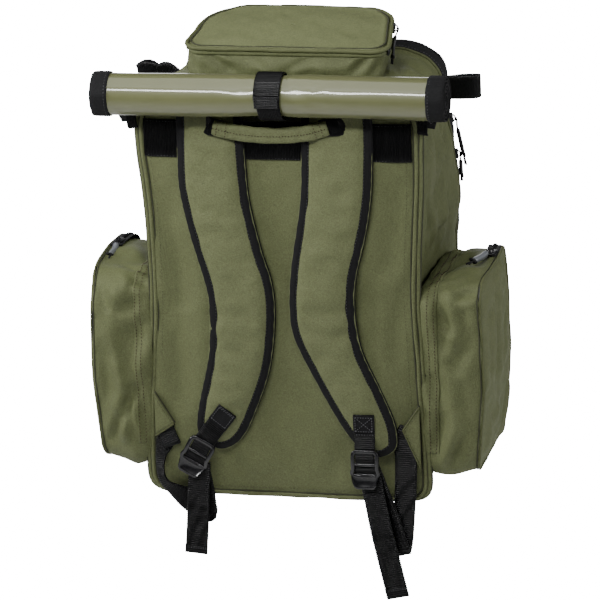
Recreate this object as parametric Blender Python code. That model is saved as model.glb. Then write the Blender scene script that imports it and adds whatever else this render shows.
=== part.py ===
"""Tackle backpack with two side pockets, a top pocket, a front pocket and a mat roll.

Metres, +Z up. X runs across the pack (+X is the wearer's left), Y runs through it:
the wearer's side, with the shoulder straps, faces -Y and the front door faces +Y.
The origin is the centre of the base underside.

Suffixes 0 and 1 on a size are its lower and upper coordinate. The empties stand on
the joints: hinges to turn about, and runs to slide along.
"""

from collections import namedtuple
from math import cos, pi, radians, sin

import bmesh
import bpy
from mathutils import Vector

# ---------------------------------------------------------------- driving sizes
WIDTH = 0.360            # body, across the back panel
DEPTH = 0.264            # body, nominal
HEIGHT = 0.540           # body
CORNER_LOW, CORNER_HIGH = 0.022, 0.050
WALL = 0.004             # padded fabric wall of the body
POCKET_WALL = 0.003      # wall of every pocket
GAP = 0.0003             # clearance between neighbours

BACK_Y = -DEPTH / 2      # wearer's face of the back panel
WEBBING = 0.030          # width of the lower straps and tails

SIDES = {"left": 1, "right": -1}      # as worn, with the sign of X

# ---------------------------------------------------------------- finishes
OLIVE = (0.150, 0.160, 0.075)
OLIVE_DARK = (0.110, 0.118, 0.055)
PVC = (0.180, 0.175, 0.090)
BLACK = (0.012, 0.012, 0.013)
PLASTIC = (0.010, 0.010, 0.011)
GREY = (0.10, 0.11, 0.12)

Finish = namedtuple("Finish", "colour roughness metallic", defaults=(0.0,))
FABRIC = Finish(colour=OLIVE, roughness=0.85)
PIPING_FABRIC = Finish(colour=OLIVE_DARK, roughness=0.85)
BLACK_WEBBING = Finish(colour=BLACK, roughness=0.75)
BLACK_STRAP = Finish(colour=BLACK, roughness=0.8)
ZIP_TAPE = Finish(colour=BLACK, roughness=0.6)
ROLL_PVC = Finish(colour=PVC, roughness=0.25)
BUCKLE_PLASTIC = Finish(colour=PLASTIC, roughness=0.25)
SHEET_PLASTIC = Finish(colour=(0.02, 0.02, 0.02), roughness=0.45)
BOARD_PLASTIC = Finish(colour=(0.03, 0.03, 0.03), roughness=0.5)
SLIDER_METAL = Finish(colour=GREY, roughness=0.35, metallic=0.8)
PULLER_GREY = Finish(colour=GREY, roughness=0.5)


# ---------------------------------------------------------------- objects
def clear():
    for obj in list(bpy.data.objects):
        bpy.data.objects.remove(obj, do_unlink=True)


def material(name, finish):
    mat = bpy.data.materials.new(name)
    mat.use_nodes = True
    shader = mat.node_tree.nodes["Principled BSDF"]
    shader.inputs["Base Color"].default_value = (*finish.colour, 1.0)
    shader.inputs["Roughness"].default_value = finish.roughness
    shader.inputs["Metallic"].default_value = finish.metallic
    return mat


def link(name, mesh):
    obj = bpy.data.objects.new(name, mesh)
    bpy.context.scene.collection.objects.link(obj)
    return obj


def pivot(name, at, parent=None):
    """An empty on a joint's axis, at a world position. The moving pieces are its children."""
    empty = link(name, None)
    empty["at"] = at
    empty.location = Vector(at) - (Vector(parent["at"]) if parent else Vector())
    empty.parent = parent
    return empty


def finished_mesh(name, bm):
    """Turns a bmesh into a mesh whose normals face outwards, and frees it."""
    bmesh.ops.recalc_face_normals(bm, faces=bm.faces)
    mesh = bpy.data.meshes.new(name)
    bm.to_mesh(mesh)
    bm.free()
    return mesh


def piece(name, bm, finish, parent=None, bevel=0.0, smooth=False):
    """Closes off a bmesh drawn in world coordinates as one named object."""
    if parent:
        bmesh.ops.translate(bm, verts=bm.verts, vec=-Vector(parent["at"]))
    mesh = finished_mesh(name, bm)
    obj = link(name, mesh)
    obj.parent = parent
    mesh.materials.append(material(name + "_finish", finish))
    if smooth:
        mesh.shade_smooth()
        mesh.set_sharp_from_angle(angle=radians(35))
    if bevel:
        edges = obj.modifiers.new("edges", "BEVEL")
        edges.width = bevel
        edges.segments = 1
        edges.limit_method = "ANGLE"
        edges.angle_limit = radians(50)
    return obj


def cut(obj, name, bm, operation="DIFFERENCE"):
    """A Boolean with a helper mesh that isn't rendered."""
    helper = link(name, finished_mesh(name, bm))
    helper.hide_render = True
    helper.display_type = "WIRE"
    boolean = obj.modifiers.new(name, "BOOLEAN")
    boolean.operation = operation
    boolean.solver = "EXACT"
    boolean.object = helper


# ---------------------------------------------------------------- outlines
def rectangle(left, right, bottom, top):
    return [(left, bottom), (right, bottom), (right, top), (left, top)]


def rounded(left, right, bottom, top, radii, steps=4):
    """A rectangle with corner radii for low-left, low-right, high-right, high-left."""
    corners = ((left, bottom, 180), (right, bottom, 270), (right, top, 0), (left, top, 90))
    points = []
    for (x, y, start), radius in zip(corners, radii):
        radius = max(radius, 1e-4)     # a square corner keeps its point count
        centre_x = x + (radius if x == left else -radius)
        centre_y = y + (radius if y == bottom else -radius)
        for k in range(steps + 1):
            angle = radians(start + 90 * k / steps)
            points.append((centre_x + radius * cos(angle), centre_y + radius * sin(angle)))
    return points


def body_outline(inset=0.0):
    low = max(CORNER_LOW - inset, 0.004)
    high = max(CORNER_HIGH - inset, 0.004)
    half = WIDTH / 2 - inset
    return rounded(-half, half, inset, HEIGHT - inset, (low, low, high, high))


def mirrored(points, sign):
    """Points (distance from the middle, other coordinate) put on one side of the pack."""
    return [(sign * distance, other) for distance, other in points]


def span(sign, near, far):
    """Two distances from the middle as a low and a high coordinate on one side."""
    return sorted((sign * near, sign * far))


def spline(points, steps):
    """A Catmull-Rom curve through the points."""
    curve = []
    last = len(points) - 1
    for i in range(last):
        before, start, end, after = (Vector(points[min(max(i + k, 0), last)])
                                     for k in (-1, 0, 1, 2))
        for k in range(steps):
            t = k / steps
            linear = (end - before) * t
            square = (2 * before - 5 * start + 4 * end - after) * t ** 2
            cubic = (3 * start - before - 3 * end + after) * t ** 3
            curve.append(0.5 * (2 * start + linear + square + cubic))
    curve.append(Vector(points[-1]))
    return curve


def direction(line, i):
    """The direction of a polyline at its point i."""
    return (line[min(i + 1, len(line) - 1)] - line[max(i - 1, 0)]).normalized()


def leftward(heading):
    return Vector((-heading.y, heading.x))


def offset(line, distance):
    """A polyline moved sideways, to its left."""
    return [point + distance * leftward(direction(line, i)) for i, point in enumerate(line)]


def lengthened(start, end, extra):
    """The start of a line after moving it away from the end."""
    return start - (end - start).normalized() * extra


def strip(start, end, width):
    """The outline of a straight strip along a line."""
    half = leftward((end - start).normalized()) * width / 2
    return [start - half, start + half, end + half, end - half]


# ---------------------------------------------------------------- solids
def place(point, level, axis):
    """A point of the plane across axis, at a level along axis, as x, y, z."""
    first, second = point
    return {"X": (level, first, second),
            "Y": (first, level, second),
            "Z": (first, second, level)}[axis]


def loop_verts(bm, outline, axis, level):
    return [bm.verts.new(place(point, level, axis)) for point in outline]


def bridge(bm, loop, other):
    """Faces between two closed loops with equal point counts."""
    following = zip(loop, loop[1:] + loop[:1], other[1:] + other[:1], other)
    return [bm.faces.new(corners) for corners in following]


def extrude(bm, faces, axis, distance):
    extruded = bmesh.ops.extrude_face_region(bm, geom=faces)
    moved = [item for item in extruded["geom"] if isinstance(item, bmesh.types.BMVert)]
    bmesh.ops.translate(bm, verts=moved, vec=Vector(place((0, 0), distance, axis)))
    return bm


def prism(outline, axis, low, high):
    """A flat outline, in the plane across axis, extruded from low to high."""
    bm = bmesh.new()
    base = bm.faces.new(loop_verts(bm, outline, axis, low))
    return extrude(bm, [base], axis, high - low)


def ring(outer, inner, axis, low, high):
    """The space between two outlines with equal point counts, extruded."""
    bm = bmesh.new()
    outer_loop = loop_verts(bm, outer, axis, low)
    inner_loop = loop_verts(bm, inner, axis, low)
    return extrude(bm, bridge(bm, outer_loop, inner_loop), axis, high - low)


def cup(outer, inner, axis, low, high, floor):
    """A tray: the outer outline from low to high, hollowed by the inner one down to floor."""
    bm = bmesh.new()
    levels = ((outer, low), (outer, high), (inner, high), (inner, floor))
    rows = [loop_verts(bm, outline, axis, level) for outline, level in levels]
    bm.faces.new(rows[0])
    bm.faces.new(rows[3])
    for below, above in zip(rows, rows[1:]):
        bridge(bm, below, above)
    return bm


def hull(points):
    bm = bmesh.new()
    for point in points:
        bm.verts.new(point)
    bmesh.ops.convex_hull(bm, input=bm.verts)
    return bm


def ribbon(path, half, thickness):
    """A strap along a path, reaching the vector half to either side of it."""
    bm = bmesh.new()
    rows = []
    for i, centre in enumerate(path):
        through = half.cross(direction(path, i)).normalized() * thickness / 2
        corners = (centre - half - through, centre + half - through,
                   centre + half + through, centre - half + through)
        rows.append([bm.verts.new(corner) for corner in corners])
    for row, following in zip(rows, rows[1:]):
        bridge(bm, row, following)
    bm.faces.new(rows[0])
    bm.faces.new(rows[-1])
    return bm


# ---------------------------------------------------------------- zip sliders
SLIDER_PROFILE = ((0.0, -0.007), (0.0, 0.005), (0.0048, -0.005), (0.0048, 0.003))  # out, run
SLIDER_HALF = 0.0045
PULLER_RISE = 0.0075     # puller's middle plane, off the surface
PULLER_HALF_THICK = 0.0014
PULLER_NECK, PULLER_BODY, PULLER_TIP = 0.0022, 0.0035, 0.002     # half-widths


def slider(name, at, out, run, length, parent=None):
    """A zip slider on a surface facing out, and the puller that lies along run from it."""
    base, out, run = Vector(at), Vector(out), Vector(run)
    side = out.cross(run)
    zip_run = pivot(name + "_zip_run", at, parent)
    block = [base + out * rise + run * along + side * across
             for rise, along in SLIDER_PROFILE
             for across in (-SLIDER_HALF, SLIDER_HALF)]
    piece(name + "_slider", hull(block), SLIDER_METAL, zip_run)

    eye = base + out * PULLER_RISE
    hinge = pivot(name + "_puller_hinge", tuple(eye), zip_run)
    # distance along the puller, half-width there
    stations = ((-0.002, PULLER_NECK), (length * 0.3, PULLER_NECK),
                (length * 0.35, PULLER_BODY), (length * 0.97, PULLER_BODY),
                (length, PULLER_TIP))
    bar = [eye + run * along + out * rise + side * across
           for rise in (-PULLER_HALF_THICK, PULLER_HALF_THICK)
           for along, half in stations
           for across in (-half, half)]
    piece(name + "_puller", hull(bar), PULLER_GREY, hinge)


def main_zip_sliders():
    for name, z in (("main_upper", 0.447), ("main_lower", 0.398)):
        slider(name, (WIDTH / 2 + GAP, 0.111, z), out=(1, 0, 0), run=(0, 0, -1), length=0.036)


# ---------------------------------------------------------------- body
PIPING = 0.0045
PANEL_THICK = 0.0075
PANEL_INSET = PIPING + GAP
SHELL_Y0, SHELL_Y1 = BACK_Y + PANEL_THICK + GAP, 0.1236
SHELL_FLOOR = 0.003      # thickness of the shell's wall behind the back panel
ZIP_Y0, ZIP_Z0 = 0.0984, 0.0456    # edge of the main zip towards the wearer, and its lower ends
CUT_X, CUT_Y = 0.25, 0.2           # cutters reach past the body to here

BAND = 0.050             # wide webbing band across the back panel
BAND_TOP = 0.5035
BAND_INSET = 0.0026      # from the edge of the back panel

# on one side of the pack: distance from the middle, height
CORNER_TAB = [(0.1745, 0.126), (0.1545, 0.0965), (0.1745, 0.050)]
MAT_KEEPER = [(0.1825, 0.4885), (0.1960, 0.4920), (0.1975, 0.5300), (0.1825, 0.5300)]
# two layers joined at the outer end: distance from the middle, y
SIDE_LOOP = [
    (0.1806, 0.0460), (0.2180, 0.0460), (0.2270, 0.0500),    # outside
    (0.2270, 0.0600), (0.2180, 0.0640), (0.1806, 0.0640),
    (0.1806, 0.0622), (0.2172, 0.0622), (0.2252, 0.0588),    # inside, on the way back
    (0.2252, 0.0512), (0.2172, 0.0478), (0.1806, 0.0478),
]
SIDE_LOOP_Z0, SIDE_LOOP_Z1 = 0.4890, 0.5210


def back_panel():
    panel_y1 = BACK_Y + PANEL_THICK
    piece("back_panel", prism(body_outline(PANEL_INSET), "Y", BACK_Y, panel_y1), FABRIC,
          bevel=0.001)
    piping = ring(body_outline(), body_outline(PIPING), "Y", BACK_Y - 0.0015, panel_y1)
    piece("back_piping", piping, PIPING_FABRIC, smooth=True)


def body_shell():
    tray = cup(body_outline(), body_outline(WALL), "Y", SHELL_Y0, SHELL_Y1, SHELL_Y0 + SHELL_FLOOR)
    shell = piece("body_shell", tray, FABRIC)
    notch = rectangle(-CUT_X, CUT_X, ZIP_Y0 - GAP, CUT_Y)
    cut(shell, "zip_notch", prism(notch, "Z", ZIP_Z0 - GAP, 0.7))


def main_zip():
    """The zip fills the notch in the shell's wall, and stops above the base."""
    hoop = ring(body_outline(), body_outline(WALL - 0.0005), "Y", ZIP_Y0, SHELL_Y1)
    teeth = piece("main_zip", hoop, ZIP_TAPE)
    cut(teeth, "zip_ends", prism(rectangle(-CUT_X, CUT_X, 0.05, CUT_Y), "Z", -0.1, ZIP_Z0))


def stiffeners():
    sheet = rounded(-0.162, 0.162, 0.018, 0.516, (0.020, 0.020, 0.045, 0.045))
    piece("frame_sheet", prism(sheet, "Y", SHELL_Y0 + 0.0036, SHELL_Y0 + 0.0061), SHEET_PLASTIC)
    board = rounded(-0.156, 0.156, -0.112, 0.094, (0.015,) * 4, 2)
    piece("base_board", prism(board, "Z", WALL + 0.0004, WALL + 0.0034), BOARD_PLASTIC)


def webbing_band():
    half = WIDTH / 2 - PANEL_INSET - BAND_INSET
    band = rectangle(-half, half, BAND_TOP - BAND, BAND_TOP)
    piece("webbing_band", prism(band, "Y", BACK_Y - 0.0019, BACK_Y - GAP), BLACK_WEBBING)


def side_fittings(side, sign):
    """Corner tab low on the back panel, loop on the side wall and mat keeper near the top."""
    tab = mirrored(CORNER_TAB, sign)
    piece("corner_tab_" + side, prism(tab, "Y", BACK_Y - 0.0025, BACK_Y - GAP), FABRIC)
    loop = mirrored(SIDE_LOOP, sign)
    piece("side_loop_" + side, prism(loop, "Z", SIDE_LOOP_Z0, SIDE_LOOP_Z1), BLACK_WEBBING)
    keeper = mirrored(MAT_KEEPER, sign)
    piece("mat_keeper_" + side, prism(keeper, "Y", BACK_Y - 0.0038, BACK_Y - 0.0020), BLACK_STRAP)


# ---------------------------------------------------------------- pockets with a fold
# heights above the rim of the pocket's tray
POCKET_ZIP_TOP = 0.0022
FLAP_BASE = 0.0025


def folding_pocket(names, frame, radii, fold, axis, back, rim, face, floor, sign=1, parent=None):
    """A tray with a raised lower face, and above the fold a zip round the rim and a flap.

    frame is the left, right, bottom and top of the outline. back, rim and face are
    distances from the middle along axis, and floor is the thickness at the back.
    """
    left, right, bottom, top = frame
    outer = rounded(*frame, radii, 3)
    inner = rounded(left + POCKET_WALL, right - POCKET_WALL,
                    bottom + POCKET_WALL, top - POCKET_WALL,
                    [radius - POCKET_WALL for radius in radii], 3)
    tray = cup(outer, inner, axis, sign * back, sign * rim, sign * (back + floor))
    shell = piece(names["shell"], tray, FABRIC, parent)
    lower = rounded(left, right, bottom, fold - 0.001, (*radii[:2], 0, 0), 3)
    cut(shell, names["face"], prism(lower, axis, *span(sign, rim - 0.0005, face)), "UNION")

    def upper(outline, inset, foot):
        above = [point for point in outline if point[1] > fold]
        return [(right - inset, foot), *above, (left + inset, foot)]

    band = upper(outer, 0, fold) + upper(inner, POCKET_WALL, fold)[::-1]
    zip_span = span(sign, rim + GAP, rim + POCKET_ZIP_TOP)
    piece(names["zip"], prism(band, axis, *zip_span), ZIP_TAPE, parent)
    hinge = pivot(names["hinge"], place((0, fold), sign * face, axis), parent)
    flap = prism(upper(outer, 0, fold + 0.0004), axis, *span(sign, rim + FLAP_BASE, face))
    piece(names["flap"], flap, FABRIC, hinge)


# ---------------------------------------------------------------- door and front pocket
DOOR_Y0, DOOR_Y1, DOOR_Z0 = 0.1240, 0.1290, 0.0040
FRONT_X, FRONT_Z0, FRONT_FOLD, FRONT_Z1 = 0.130, 0.050, 0.190, 0.330
FRONT_Y0, FRONT_Y1 = DOOR_Y1 + GAP, 0.1680


def front_door():
    """The door, hinged along its foot. Returns the hinge."""
    hinge = pivot("door_hinge", (0, DOOR_Y0 - 0.0002, 0.0035))
    outline = rounded(-WIDTH / 2, WIDTH / 2, DOOR_Z0, HEIGHT,
                      (CORNER_LOW, CORNER_LOW, CORNER_HIGH, CORNER_HIGH))
    piece("front_door", prism(outline, "Y", DOOR_Y0, DOOR_Y1), FABRIC, hinge)
    return hinge


def front_pocket(door_hinge):
    names = {"shell": "front_pocket", "face": "front_pocket_face", "zip": "front_pocket_zip",
             "hinge": "front_flap_hinge", "flap": "front_pocket_flap"}
    folding_pocket(names, (-FRONT_X, FRONT_X, FRONT_Z0, FRONT_Z1), (0.015, 0.015, 0.025, 0.025),
                   FRONT_FOLD, "Y", back=FRONT_Y0, rim=FRONT_Y1, face=FRONT_Y1 + 0.0050,
                   floor=0.003, parent=door_hinge)
    slider("front_pocket", (0.085, FRONT_Y1 - 0.006, FRONT_Z1 + GAP),
           out=(0, 0, 1), run=(1, 0, 0), length=0.032, parent=door_hinge)


# ---------------------------------------------------------------- side pockets
POCKET_X0, POCKET_X1, POCKET_FACE = 0.1806, 0.2500, 0.2556
POCKET_Y0, POCKET_Y1 = -0.1270, 0.0640
POCKET_Z0, POCKET_Z1 = 0.0380, 0.2940
POCKET_FOLD = 0.1900     # height of the fold in the pocket's outer face


def side_pocket(side, sign):
    names = {"shell": "side_pocket_" + side, "face": "side_face_" + side,
             "zip": "side_zip_" + side, "hinge": "side_flap_hinge_" + side,
             "flap": "side_flap_" + side}
    folding_pocket(names, (POCKET_Y0, POCKET_Y1, POCKET_Z0, POCKET_Z1),
                   (0.022, 0.022, 0.030, 0.030), POCKET_FOLD, "X",
                   back=POCKET_X0, rim=POCKET_X1, face=POCKET_FACE, floor=0.002, sign=sign)
    # the puller points to the wearer's side, turned a little towards the body
    slider("side_" + side, (sign * 0.2450, -0.0100, POCKET_Z1 + GAP),
           out=(0, 0, 1), run=(sign * -0.35, -0.937, 0), length=0.044)


# ---------------------------------------------------------------- top pocket
TOP_X, TOP_Y0, TOP_Y1 = 0.131, -0.070, 0.033
TOP_Z0 = HEIGHT + GAP
TOP_NEAR, TOP_FAR = 0.5825, 0.6080    # lid top at TOP_Y0 (wearer's side) and at TOP_Y1
TOP_SLOPE = (TOP_FAR - TOP_NEAR) / (TOP_Y1 - TOP_Y0)
# drops below the lid's top
TOP_RIM_DROP = 0.0090
TOP_ZIP_DROP = 0.0058
LID_DROP = 0.0054
# level ends the solids are drawn with, before they are moved to the slope
DRAFT_LOW, DRAFT_SPLIT, DRAFT_HIGH = 0.6, 0.65, 0.7


def top_height(y, drop):
    return TOP_NEAR + TOP_SLOPE * (y - TOP_Y0) - drop


def top_plan(inset):
    radii = (0.020 - inset,) * 2 + (0.034 - inset,) * 2
    return rounded(-TOP_X + inset, TOP_X - inset, TOP_Y0 + inset, TOP_Y1 - inset, radii)


def sloped(bm, high_drop, low_drop=None):
    """Moves the upper end to the slope and, if low_drop is given, the lower end too."""
    for vert in bm.verts:
        if vert.co.z > DRAFT_SPLIT:
            vert.co.z = top_height(vert.co.y, high_drop)
        elif low_drop is not None:
            vert.co.z = top_height(vert.co.y, low_drop)
    return bm


def top_pocket():
    outer, inner = top_plan(0), top_plan(POCKET_WALL)
    tray = cup(outer, inner, "Z", TOP_Z0, DRAFT_HIGH, TOP_Z0 + 0.003)
    piece("top_pocket", sloped(tray, TOP_RIM_DROP), FABRIC)
    tape = ring(outer, inner, "Z", DRAFT_LOW, DRAFT_HIGH)
    piece("top_pocket_zip", sloped(tape, TOP_ZIP_DROP, TOP_RIM_DROP - GAP), ZIP_TAPE)


def top_lid():
    hinge = pivot("top_lid_hinge", (0, TOP_Y0, top_height(TOP_Y0, 0.0052)))
    lid = prism(top_plan(0), "Z", DRAFT_LOW, DRAFT_HIGH)
    piece("top_lid", sloped(lid, 0.0, LID_DROP), FABRIC, hinge)


def top_slider():
    y = -0.005
    square_to_slope = tuple(Vector((0, TOP_SLOPE, -1)).normalized())
    slider("top", (TOP_X + GAP, y, top_height(y, 0.0075)),
           out=(1, 0, 0), run=square_to_slope, length=0.034)


# ---------------------------------------------------------------- shoulder straps
PAD_Y0, PAD_Y1 = BACK_Y - 0.0145, BACK_Y - 0.0025
BINDING = 0.0085         # width of the binding round the pad's edge
YOKE_Z0, YOKE_Z1 = 0.4700, 0.5130
STRAP_HINGE_Z = YOKE_Z0 - GAP

# edges of the two shoulder pads as they lie, from the outer top corner round the
# rounded end to the inner top corner: distance from the middle, height
PAD_EDGE = {
    "left": [(0.1250, 0.4636), (0.1214, 0.407), (0.1119, 0.354), (0.0984, 0.300),
             (0.0956, 0.2545), (0.1031, 0.204), (0.1251, 0.153), (0.1405, 0.115),
             (0.1456, 0.092), (0.1437, 0.0724), (0.1275, 0.0607), (0.1080, 0.0615),
             (0.0936, 0.073), (0.0747, 0.098), (0.0461, 0.150), (0.0155, 0.215),
             (0.0098, 0.257), (0.0138, 0.311), (0.0255, 0.378), (0.0308, 0.4175),
             (0.0328, 0.4636)],
    "right": [(0.1295, 0.4636), (0.1301, 0.427), (0.1273, 0.400), (0.1165, 0.347),
              (0.0990, 0.280), (0.0966, 0.235), (0.1011, 0.185), (0.1142, 0.130),
              (0.1194, 0.100), (0.1165, 0.080), (0.0957, 0.0637), (0.0755, 0.0659),
              (0.0574, 0.082), (0.0415, 0.113), (0.0191, 0.175), (0.0099, 0.243),
              (0.0120, 0.290), (0.0246, 0.336), (0.0377, 0.402), (0.0413, 0.4636)],
}

BUCKLE_W, BUCKLE_H = 0.039, 0.053
BUCKLE_Y0, BUCKLE_Y1 = BACK_Y - 0.0245, BACK_Y - 0.0185
BUCKLE_BAR = 0.007       # from the buckle's top edge down to the axis it tilts on
SLOT_W = 0.031
SLOTS = ((0.010, 0.018), (0.024, 0.033), (0.038, 0.0465))    # start, end below the top edge
# x, z of the middle of the buckle's top edge
BUCKLE_TOP = {"left": (0.1054, 0.0735), "right": (-0.1070, 0.0785)}
BUCKLE_LEAN = {"left": 0.0, "right": radians(-28.8)}         # from upright
# x, z on the pad, near the upper end of the webbing that holds the buckle
PATCH_POINT = {"left": (0.105, 0.106), "right": (-0.0835, 0.108)}
PATCH_W = 0.025
# x, z of the middle of the tail where it leaves the buckle, and at its free end
TAIL = {
    "left": ((0.1153, 0.0170), (0.1437, -0.1280)),
    "right": ((-0.1169, 0.0275), (-0.1250, -0.0787)),
}


def shoulder_pad(side, sign, hinge):
    curve = spline(mirrored(PAD_EDGE[side], sign), 3)
    piece("shoulder_pad_" + side, prism(curve, "Y", PAD_Y0, PAD_Y1), FABRIC, hinge)
    trim = curve + offset(curve, -BINDING * sign)[::-1]
    piece("shoulder_binding_" + side, prism(trim, "Y", PAD_Y0 - 0.0017, PAD_Y0 - GAP),
          BLACK_WEBBING, hinge)


def strap_yoke(side, sign):
    """The sewn patch above the pad, as wide at its foot as the pad's top."""
    outer, inner = PAD_EDGE[side][0][0], PAD_EDGE[side][-1][0]
    yoke = mirrored([(outer, YOKE_Z0), (outer, YOKE_Z1), (inner + 0.003, YOKE_Z1),
                     (inner, YOKE_Z0)], sign)
    piece("strap_yoke_" + side, prism(yoke, "Y", BACK_Y - 0.0105, BACK_Y - 0.0023), FABRIC)


def buckle(side, top, down, strap_hinge):
    """A ladder-lock buckle. Returns the hinge it tilts on."""
    across = leftward(down) * -1 if down.y > 0 else leftward(down)
    bar = top + down * BUCKLE_BAR
    tilt = pivot("buckle_hinge_" + side, (bar.x, (BUCKLE_Y0 + BUCKLE_Y1) / 2, bar.y), strap_hinge)

    def slab(width, start, end, y0, y1, taper=0.0):
        corners = ((-width / 2, start), (width / 2, start),
                   (width / 2 - taper, end), (-width / 2 + taper, end))
        return prism([top + across * side_step + down * drop for side_step, drop in corners],
                     "Y", y0, y1)

    frame = piece("buckle_" + side, slab(BUCKLE_W, 0, BUCKLE_H, BUCKLE_Y0, BUCKLE_Y1, 0.002),
                  BUCKLE_PLASTIC, tilt)
    for i, (start, end) in enumerate(SLOTS):
        cut(frame, f"buckle_slot_{side}_{i}",
            slab(SLOT_W, start, end, BUCKLE_Y0 - 0.01, BUCKLE_Y1 + 0.01))
    return tilt


def buckle_webbing(side, top, down, strap_hinge):
    """Webbing from the pad to the buckle's top edge."""
    point = Vector(PATCH_POINT[side])
    low = top - down * 0.003
    patch = strip(lengthened(point, low, 0.012), low, PATCH_W)
    piece("buckle_webbing_" + side, prism(patch, "Y", BACK_Y - 0.0180, BACK_Y - 0.0165),
          BLACK_WEBBING, strap_hinge)


def webbing_tail(side, tilt):
    leaves, end = (Vector(point) for point in TAIL[side])
    start = lengthened(leaves, end, 0.026)      # the part lying behind the buckle
    run = pivot("tail_run_" + side, (start.x, BUCKLE_Y1 + 0.0012, start.y), tilt)
    tail = prism(strip(start, end, WEBBING), "Y", BUCKLE_Y1 + GAP, BUCKLE_Y1 + 0.0019)
    piece("webbing_tail_" + side, tail, BLACK_WEBBING, run)


def shoulder_strap(side, sign):
    hinge = pivot("strap_hinge_" + side, (sign * 0.085, PAD_Y1, STRAP_HINGE_Z))
    shoulder_pad(side, sign, hinge)
    strap_yoke(side, sign)
    top = Vector(BUCKLE_TOP[side])
    lean = BUCKLE_LEAN[side]
    down = Vector((sin(lean), -cos(lean)))
    tilt = buckle(side, top, down, hinge)
    buckle_webbing(side, top, down, hinge)
    webbing_tail(side, tilt)


# ---------------------------------------------------------------- lower webbing
# slack loop, from the corner tab, past the base, up to the buckle: x, y, z
LOOP = {
    "left": [(0.1625, -0.1358, 0.088), (0.1595, -0.1366, 0.050), (0.156, -0.1374, 0.000),
             (0.154, -0.1380, -0.040), (0.1505, -0.1384, -0.060), (0.1490, -0.1400, -0.0660),
             (0.1470, -0.1422, -0.060), (0.143, -0.1428, -0.030), (0.135, -0.1434, 0.006),
             (0.128, -0.1438, 0.032)],
    "right": [(-0.158, -0.1358, 0.086), (-0.166, -0.1364, 0.050), (-0.160, -0.1370, 0.012),
              (-0.146, -0.1376, -0.012), (-0.136, -0.1384, -0.026), (-0.131, -0.1400, -0.0310),
              (-0.126, -0.1422, -0.026), (-0.118, -0.1428, -0.010), (-0.112, -0.1434, 0.012),
              (-0.108, -0.1438, 0.034)],
}


def lower_webbing(side):
    path = [Vector(point) for point in LOOP[side]]
    half = Vector((WEBBING / 2 * 0.97, 0, 0))
    piece("lower_webbing_" + side, ribbon(path, half, 0.0014), BLACK_WEBBING)


# ---------------------------------------------------------------- carry handle
HANDLE_Y = BACK_Y - 0.0112         # pack side of the handle's webbing
HANDLE_THICK = 0.0015
HANDLE_Z = 0.5120                  # top of the webbing, on the hinge axis
# webbing seen along Y: x, z
HANDLE_STRIP = [
    (-0.0955, HANDLE_Z), (-0.0800, 0.4870), (0.0790, 0.4880), (0.0950, HANDLE_Z),
    (0.0750, HANDLE_Z), (0.0680, 0.5060), (-0.0700, 0.5050), (-0.0780, HANDLE_Z),
]


def carry_handle():
    hinge = pivot("handle_hinge", (0, BACK_Y - 0.0115, HANDLE_Z))
    webbing = prism(HANDLE_STRIP, "Y", HANDLE_Y - HANDLE_THICK, HANDLE_Y)
    piece("handle_webbing", webbing, BLACK_WEBBING, hinge)
    grip = rounded(-0.0760, 0.0720, 0.4815, 0.5060, (0.004,) * 4, 2)
    grip_y1 = HANDLE_Y - HANDLE_THICK - GAP
    piece("handle_grip", prism(grip, "Y", HANDLE_Y - 0.0125, grip_y1), FABRIC, hinge, bevel=0.002)


# ---------------------------------------------------------------- mat roll
ROLL_Y, ROLL_Z, ROLL_HALF = -0.1655, 0.5450, 0.2100
ROLL_R, ROLL_BORE = 0.0280, 0.012      # outer and inner radius


def roll_tube(outer_radius, inner_radius, x0, x1, steps):
    """A tube round the roll's axis."""
    def circle(radius):
        angles = [2 * pi * k / steps for k in range(steps)]
        return [(ROLL_Y + radius * cos(angle), ROLL_Z + radius * sin(angle)) for angle in angles]
    return ring(circle(outer_radius), circle(inner_radius), "X", x0, x1)


def mat_roll():
    run = pivot("mat_run", (0, ROLL_Y, ROLL_Z))
    roll = roll_tube(ROLL_R, ROLL_BORE, -ROLL_HALF, ROLL_HALF, 28)
    piece("mat_roll", roll, ROLL_PVC, run, smooth=True)
    for side, sign in SIDES.items():
        binding = roll_tube(0.0288, ROLL_BORE, *span(sign, ROLL_HALF + GAP, 0.2280), 24)
        piece("mat_binding_" + side, binding, BLACK_WEBBING, run, smooth=True)
    # the strap stays with the pack when the roll slides out
    strap = roll_tube(0.0305, 0.0286, -0.0140, 0.0205, 28)
    piece("mat_centre_strap", strap, BLACK_STRAP, smooth=True)


clear()
back_panel()
body_shell()
main_zip()
stiffeners()
webbing_band()
front_pocket(front_door())
top_pocket()
top_lid()
top_slider()
carry_handle()
mat_roll()
main_zip_sliders()
for side, sign in SIDES.items():
    side_fittings(side, sign)
    side_pocket(side, sign)
    shoulder_strap(side, sign)
    lower_webbing(side)
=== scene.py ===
"""Looks for a tackle backpack: cloth, padding, webbing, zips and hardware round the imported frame.

Metres, +Z up. The body stands on z = 0 and is HEIGHT tall; loose webbing hangs below it.
-Y is the back, with the shoulder straps and the rolled mat. +Y is the front, with the door.
The side at +X is called left, the side at -X right.
"""
from math import cos, exp, pi, radians, sin

import bpy
import numpy as np
from mathutils import Matrix, Vector


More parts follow.
